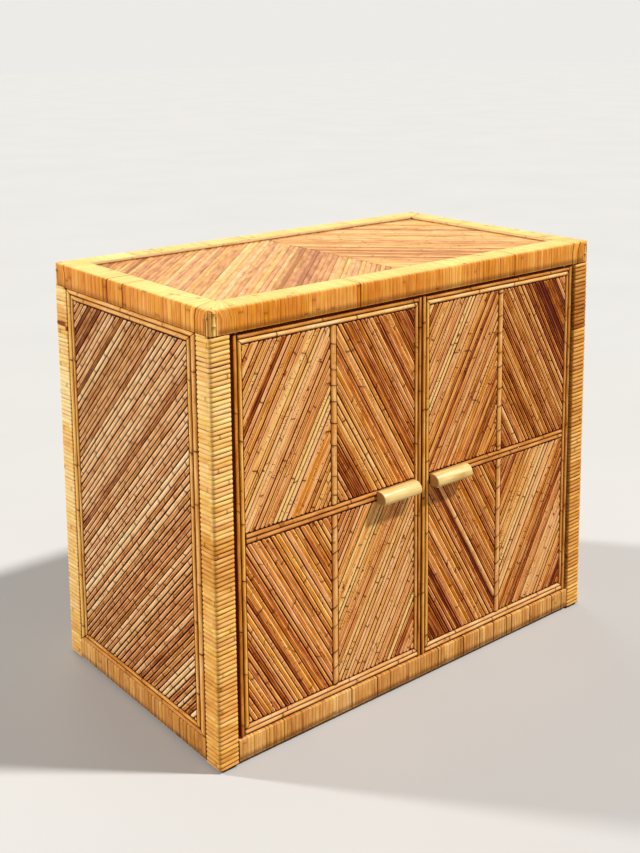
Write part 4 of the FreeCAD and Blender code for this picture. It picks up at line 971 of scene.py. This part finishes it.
def tie_corner(work, x_way, y_way):
    """Knotty strips up the unbound corner of the top frame, bent in over its top."""
    centre_y = ring_low[1] + ARRIS if y_way < 0 else left_high[1] - ARRIS
    centre = np.array((x_way * (width / 2 - ARRIS), centre_y))
    foot, head = ring_low[2] + 0.4, ring_high[2] - 0.5
    stand = ARRIS - TIE_SUNK
    half_arc = stand * math.pi / 4
    for round_corner, wide, knots in TIES:
        turn = math.pi / 4 + np.clip(round_corner, -half_arc, half_arc) / stand
        out = np.array((x_way * math.cos(turn), y_way * math.sin(turn)))
        along_face = np.array((-x_way, 0) if round_corner > 0 else (0, -y_way))
        stood = centre + out * stand + along_face * max(abs(round_corner) - half_arc, 0)
        upright = foot + (head - RING_TOP_ROUND - foot) * np.linspace(0, 1, TIE_STEPS)
        path = [np.append(stood, z) for z in upright]
        lifts = [np.append(out, 0)] * len(path)
        for quarter in np.arange(1, BEND_STEPS + 1) / BEND_STEPS * math.pi / 2:
            spot = stood - out * RING_TOP_ROUND * (1 - math.cos(quarter))
            path.append(np.append(spot, head - RING_TOP_ROUND * (1 - math.sin(quarter))))
            lifts.append(np.append(out * math.cos(quarter), math.sin(quarter)))
        bend = path[-1][:2]
        tail = TIE_TAIL if round_corner else MITRE_TAIL
        for share in (0.5, 1.0):
            path.append(np.append(bend - out * tail * share, head - 0.4 * share))
            lifts.append(np.array((0, 0, 1.0)))
        path, lifts = np.array(path), np.array(lifts)
        ahead = np.gradient(path, axis=0)
        across = np.cross(lifts, ahead)
        across /= np.linalg.norm(across, axis=1, keepdims=True)
        height = (path[:, 2] - foot) / (head - foot)
        level = np.arange(len(path)) >= len(upright)
        swell = sum((np.exp(-((height - knot) / TIE_KNOT_LONG) ** 2) for knot in knots), np.zeros(len(path)))
        swell = (1 + TIE_KNOT * np.where(level, 0, swell))[:, None]
        taper = np.interp(np.arange(len(path)), (len(upright), len(path) - 1), (1, 0.7))[:, None]
        turns = np.linspace(0, math.pi, 9)
        aside = -np.cos(turns) * wide / 2 * (0.62 + 0.38 * swell) * taper
        high = np.sin(turns) ** 0.8 * TIE_CROWN * (0.4 + 0.6 * swell)
        sections = path[:, None] + across[:, None] * aside[..., None] + lifts[:, None] * high[..., None]
        base = sections[:, (0, -1)] - lifts[:, None] * TIE_BACK
        rings = np.concatenate([base[:, :1], sections, base[:, 1:]], 1)
        rings[..., 2] = np.minimum(rings[..., 2], ring_high[2])
        edge = np.concatenate([(1,), np.abs(np.cos(turns)), (1,)])
        number = work.canes = work.canes + 1
        run = np.linalg.norm(np.diff(path, axis=0), axis=1).cumsum()
        run = np.append(0, run)[:, None] + dice.uniform(0, 900)
        passed = knots_passed(path[:, 2:], foot + np.array(knots) * (head - foot)) if knots else NO_KNOT
        grime_and_shade = np.where(level, TIE_TAIL_GRIME_AND_SHADE, TIE_GRIME_AND_SHADE)[:, None]
        tone = TIE_MOOD + dice.normal(0, TIE_SPREAD)
        work.skin(rings, (run, edge * wide / 2, number), (tone, passed, edge * grime_and_shade))
    middle = centre + np.array((x_way, y_way)) / math.sqrt(2) * WAD_OUT
    turns = np.linspace(0, 2 * math.pi, 13)[:-1]
    around = np.stack([np.cos(turns), np.sin(turns)], -1) * WAD_WIDE / 2
    wad = []
    for rise in np.linspace(0, 0.95, 6) * math.pi / 2:
        level = ring_high[2] - WAD_DEEP + (WAD_DEEP + WAD_PROUD) * math.sin(rise)
        wad.append(np.insert(middle + around * math.cos(rise), 2, level, axis=1))
    work.skin(np.array(wad), (0, 0, number), (TIE_MOOD, NO_KNOT, 0.2))


work = Work()
for x_way in (-1, 1):
    for y_way in (-1, 1):
        tie_corner(work, x_way, y_way)
work.piece("top_frame_corner_ties", "carcass", "rattan_peel_wrap", post_peel)

# a flat peel stands round the inside of the frame, over the cut ends of the top's reeds
LINING_WIDE, LINING_THICK, LINING_DOWN = 4.4, 1.2, 0.7
LINING_CLEAR, LINING_SHORT = 0.8, 0.3    # gap over the reeds and at each end
LINING_EDGE, LINING_MOOD, LINING_FULL = 0.5, 0.6, 0.5
top_edge = ring_high[2] - LINING_DOWN
low_edge = max(top_edge - LINING_WIDE, box_mm("top_reeds_left")[1][2] + LINING_CLEAR)
work = Work()
for end, x, y, long in (("front", -half_wide, front_in, 2 * half_wide),
                        ("rear", -half_wide, rear_in, 2 * half_wide),
                        ("left", -half_wide, front_in, rear_in - front_in),
                        ("right", half_wide, front_in, rear_in - front_in)):
    u, w = RAIL_WAYS[end]
    face = Face((x, y, 0), u, (0, 0, 1), w)
    outline = corners_of(LINING_SHORT, low_edge, long - LINING_SHORT, top_edge)
    lay_strip(work, face, outline, (0, (low_edge + top_edge) / 2), (1, 0), top_edge - low_edge, LINING_EDGE,
              LINING_THICK, LINING_MOOD, fullness=LINING_FULL)
work.piece("top_frame_lining", "carcass", "rattan_peel_wrap", paled_peel)

FOOT_MOOD, FOOT_CROWN = 0.56, 0.5
for end, kind in (("front", "foot"), ("rear", "foot"), ("left", "broad foot"), ("right", "broad foot")):
    node = "bottom_rail_" + end
    u, w = RAIL_WAYS[end]
    low, high = box_mm(node)
    spans = high - low
    origin = [high[i] if w[i] < 0 else low[i] for i in (0, 1)] + [low[2]]
    face, long = Face(origin, u, (0, 0, 1), w), np.abs(u) @ spans
    section = soft_section(np.abs(w) @ spans, spans[2], FOOT_RADII, RAIL_SIDE_STEPS)
    work = Work()
    bind_rail(work, face, long, section, straight, FOOT_MOOD, PEEL_WIDE[kind], gap_every=14, crown=FOOT_CROWN)
    rail_core(work, face, long, section, straight, CORE_IN)
    work.piece(node + "_bound_peel", "carcass", "rattan_peel_wrap", foot_peel, node)

# Boards and fittings kept from the frame -----------------------------------------------------------

door_fittings = ["door_%s_%s" % (side, part) for side in ("left", "right")
                 for part in ("hinge_leaves", "leaf_screws", "strike_plate", "handle_screws")]
KEPT = ((plywood["y"], ["back_board", "door_left_board", "door_right_board"]),
        (plywood["x"], ["side_board_left", "side_board_right", "divider_lower", "divider_upper"]),
        (plywood["z"], ["top_board", "floor_board", "shelf"]),
        (pine, ["top_cleats", "floor_cleats", "shelf_cleats"]),
        (zinc, ["hinge_leaves", "hinge_screws", "catch_poles", "back_screws"] + door_fittings),
        (brass, ["hinge_washers"]),
        (brown_abs, ["catch_housings", "glides"]))
for finish, nodes in KEPT:
    for node in nodes:
        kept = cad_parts[node].data.materials
        kept.clear()
        kept.append(finish)

# Studio --------------------------------------------------------------------------------------------

CAMERA_PLACE = (-1.4042, -1.6908, 1.1766)
CAMERA_AZIMUTH, CAMERA_ELEVATION, CAMERA_ROLL = 39.03, 9.41, -0.54
CAMERA_LENS, CAMERA_SHIFT = 50.06, -0.2362


def set_camera():
    data = bpy.data.cameras.new("camera")
    data.sensor_width = 36.0
    data.lens, data.shift_y = CAMERA_LENS, CAMERA_SHIFT
    data.clip_start, data.clip_end = 0.05, 60.0
    camera = bpy.data.objects.new("camera", data)
    bpy.context.scene.collection.objects.link(camera)
    turn = Matrix.Rotation(math.radians(-CAMERA_AZIMUTH), 4, "Z")
    tip = Matrix.Rotation(math.radians(90 - CAMERA_ELEVATION), 4, "X")
    roll = Matrix.Rotation(math.radians(CAMERA_ROLL), 4, "Z")
    camera.matrix_world = Matrix.Translation(CAMERA_PLACE) @ turn @ tip @ roll
    bpy.context.scene.camera = camera


def add_lamp(name, towards, strength, spread_deg, gloss=True):
    """A broad distant lamp; towards points from the cabinet to it, and gloss lets surfaces mirror it."""
    data = bpy.data.lights.new(name, "SUN")
    data.energy, data.angle = strength, math.radians(spread_deg)
    lamp = bpy.data.objects.new(name, data)
    bpy.context.scene.collection.objects.link(lamp)
    lamp.rotation_mode = "QUATERNION"
    lamp.rotation_quaternion = Vector(towards).to_track_quat("Z", "Y")
    lamp.visible_glossy = gloss


def seen_directly(tree):
    """1 for what the camera sees, straight or in a gloss or through glass, and 0 for light's own bounces."""
    rays = add(tree, "LightPath").outputs
    shown = add(tree, "Math", {0: rays["Is Camera Ray"], 1: rays["Is Glossy Ray"]}, operation="ADD")
    return add(tree, "Math", {0: shown, 1: rays["Is Transmission Ray"]}, operation="ADD", use_clamp=True)


def set_floor():
    """A matt painted floor, pale to the eye, that throws little light up under the cabinet's edges."""
    bpy.ops.mesh.primitive_grid_add(x_subdivisions=8, y_subdivisions=8, size=60)
    floor = bpy.context.object
    floor.name = "studio_floor"
    finish, tree = new_finish("matt_studio_floor")
    place = add(tree, "TexCoord").outputs["Object"]
    cloudy = add(tree, "TexNoise", {"Vector": place, "Scale": 1.5, "Detail": 3.0})
    colour = add(tree, "ValToRGB", {0: cloudy}, stops=[(0.3, "#b9b7b3"), (0.7, "#bcbab6")])
    unseen = linear("#a09c97")
    shown = add(tree, "Mix", {0: seen_directly(tree), MIX_A: unseen, MIX_B: colour}, data_type="RGBA")
    close_finish(tree, shown.outputs[MIX_OUT], 0.9, Specular_IOR_Level=0.0)
    floor.data.materials.append(finish)


def set_world():
    """Even pale surroundings, shown at full strength to the camera and in reflections."""
    world = bpy.data.worlds.new("studio")
    bpy.context.scene.world = world
    world.use_nodes = True
    tree = world.node_tree
    tree.nodes.clear()
    strength = add(tree, "MapRange", {0: seen_directly(tree), 3: 0.32, 4: 1.0})
    light = add(tree, "Background", {0: linear("#ecebe8"), 1: strength})
    add(tree, "OutputWorld", {0: light})


set_camera()
set_floor()
set_world()
add_lamp("key_lamp", (0.47, -0.42, 0.78), 3.95, 4)
add_lamp("left_fill", (-0.56, 0.71, 0.43), 3.15, 6, gloss=False)
add_lamp("rear_fill", (0.3, 0.85, 0.42), 0.5, 30, gloss=False)
bpy.context.scene.view_settings.view_transform = "Standard"
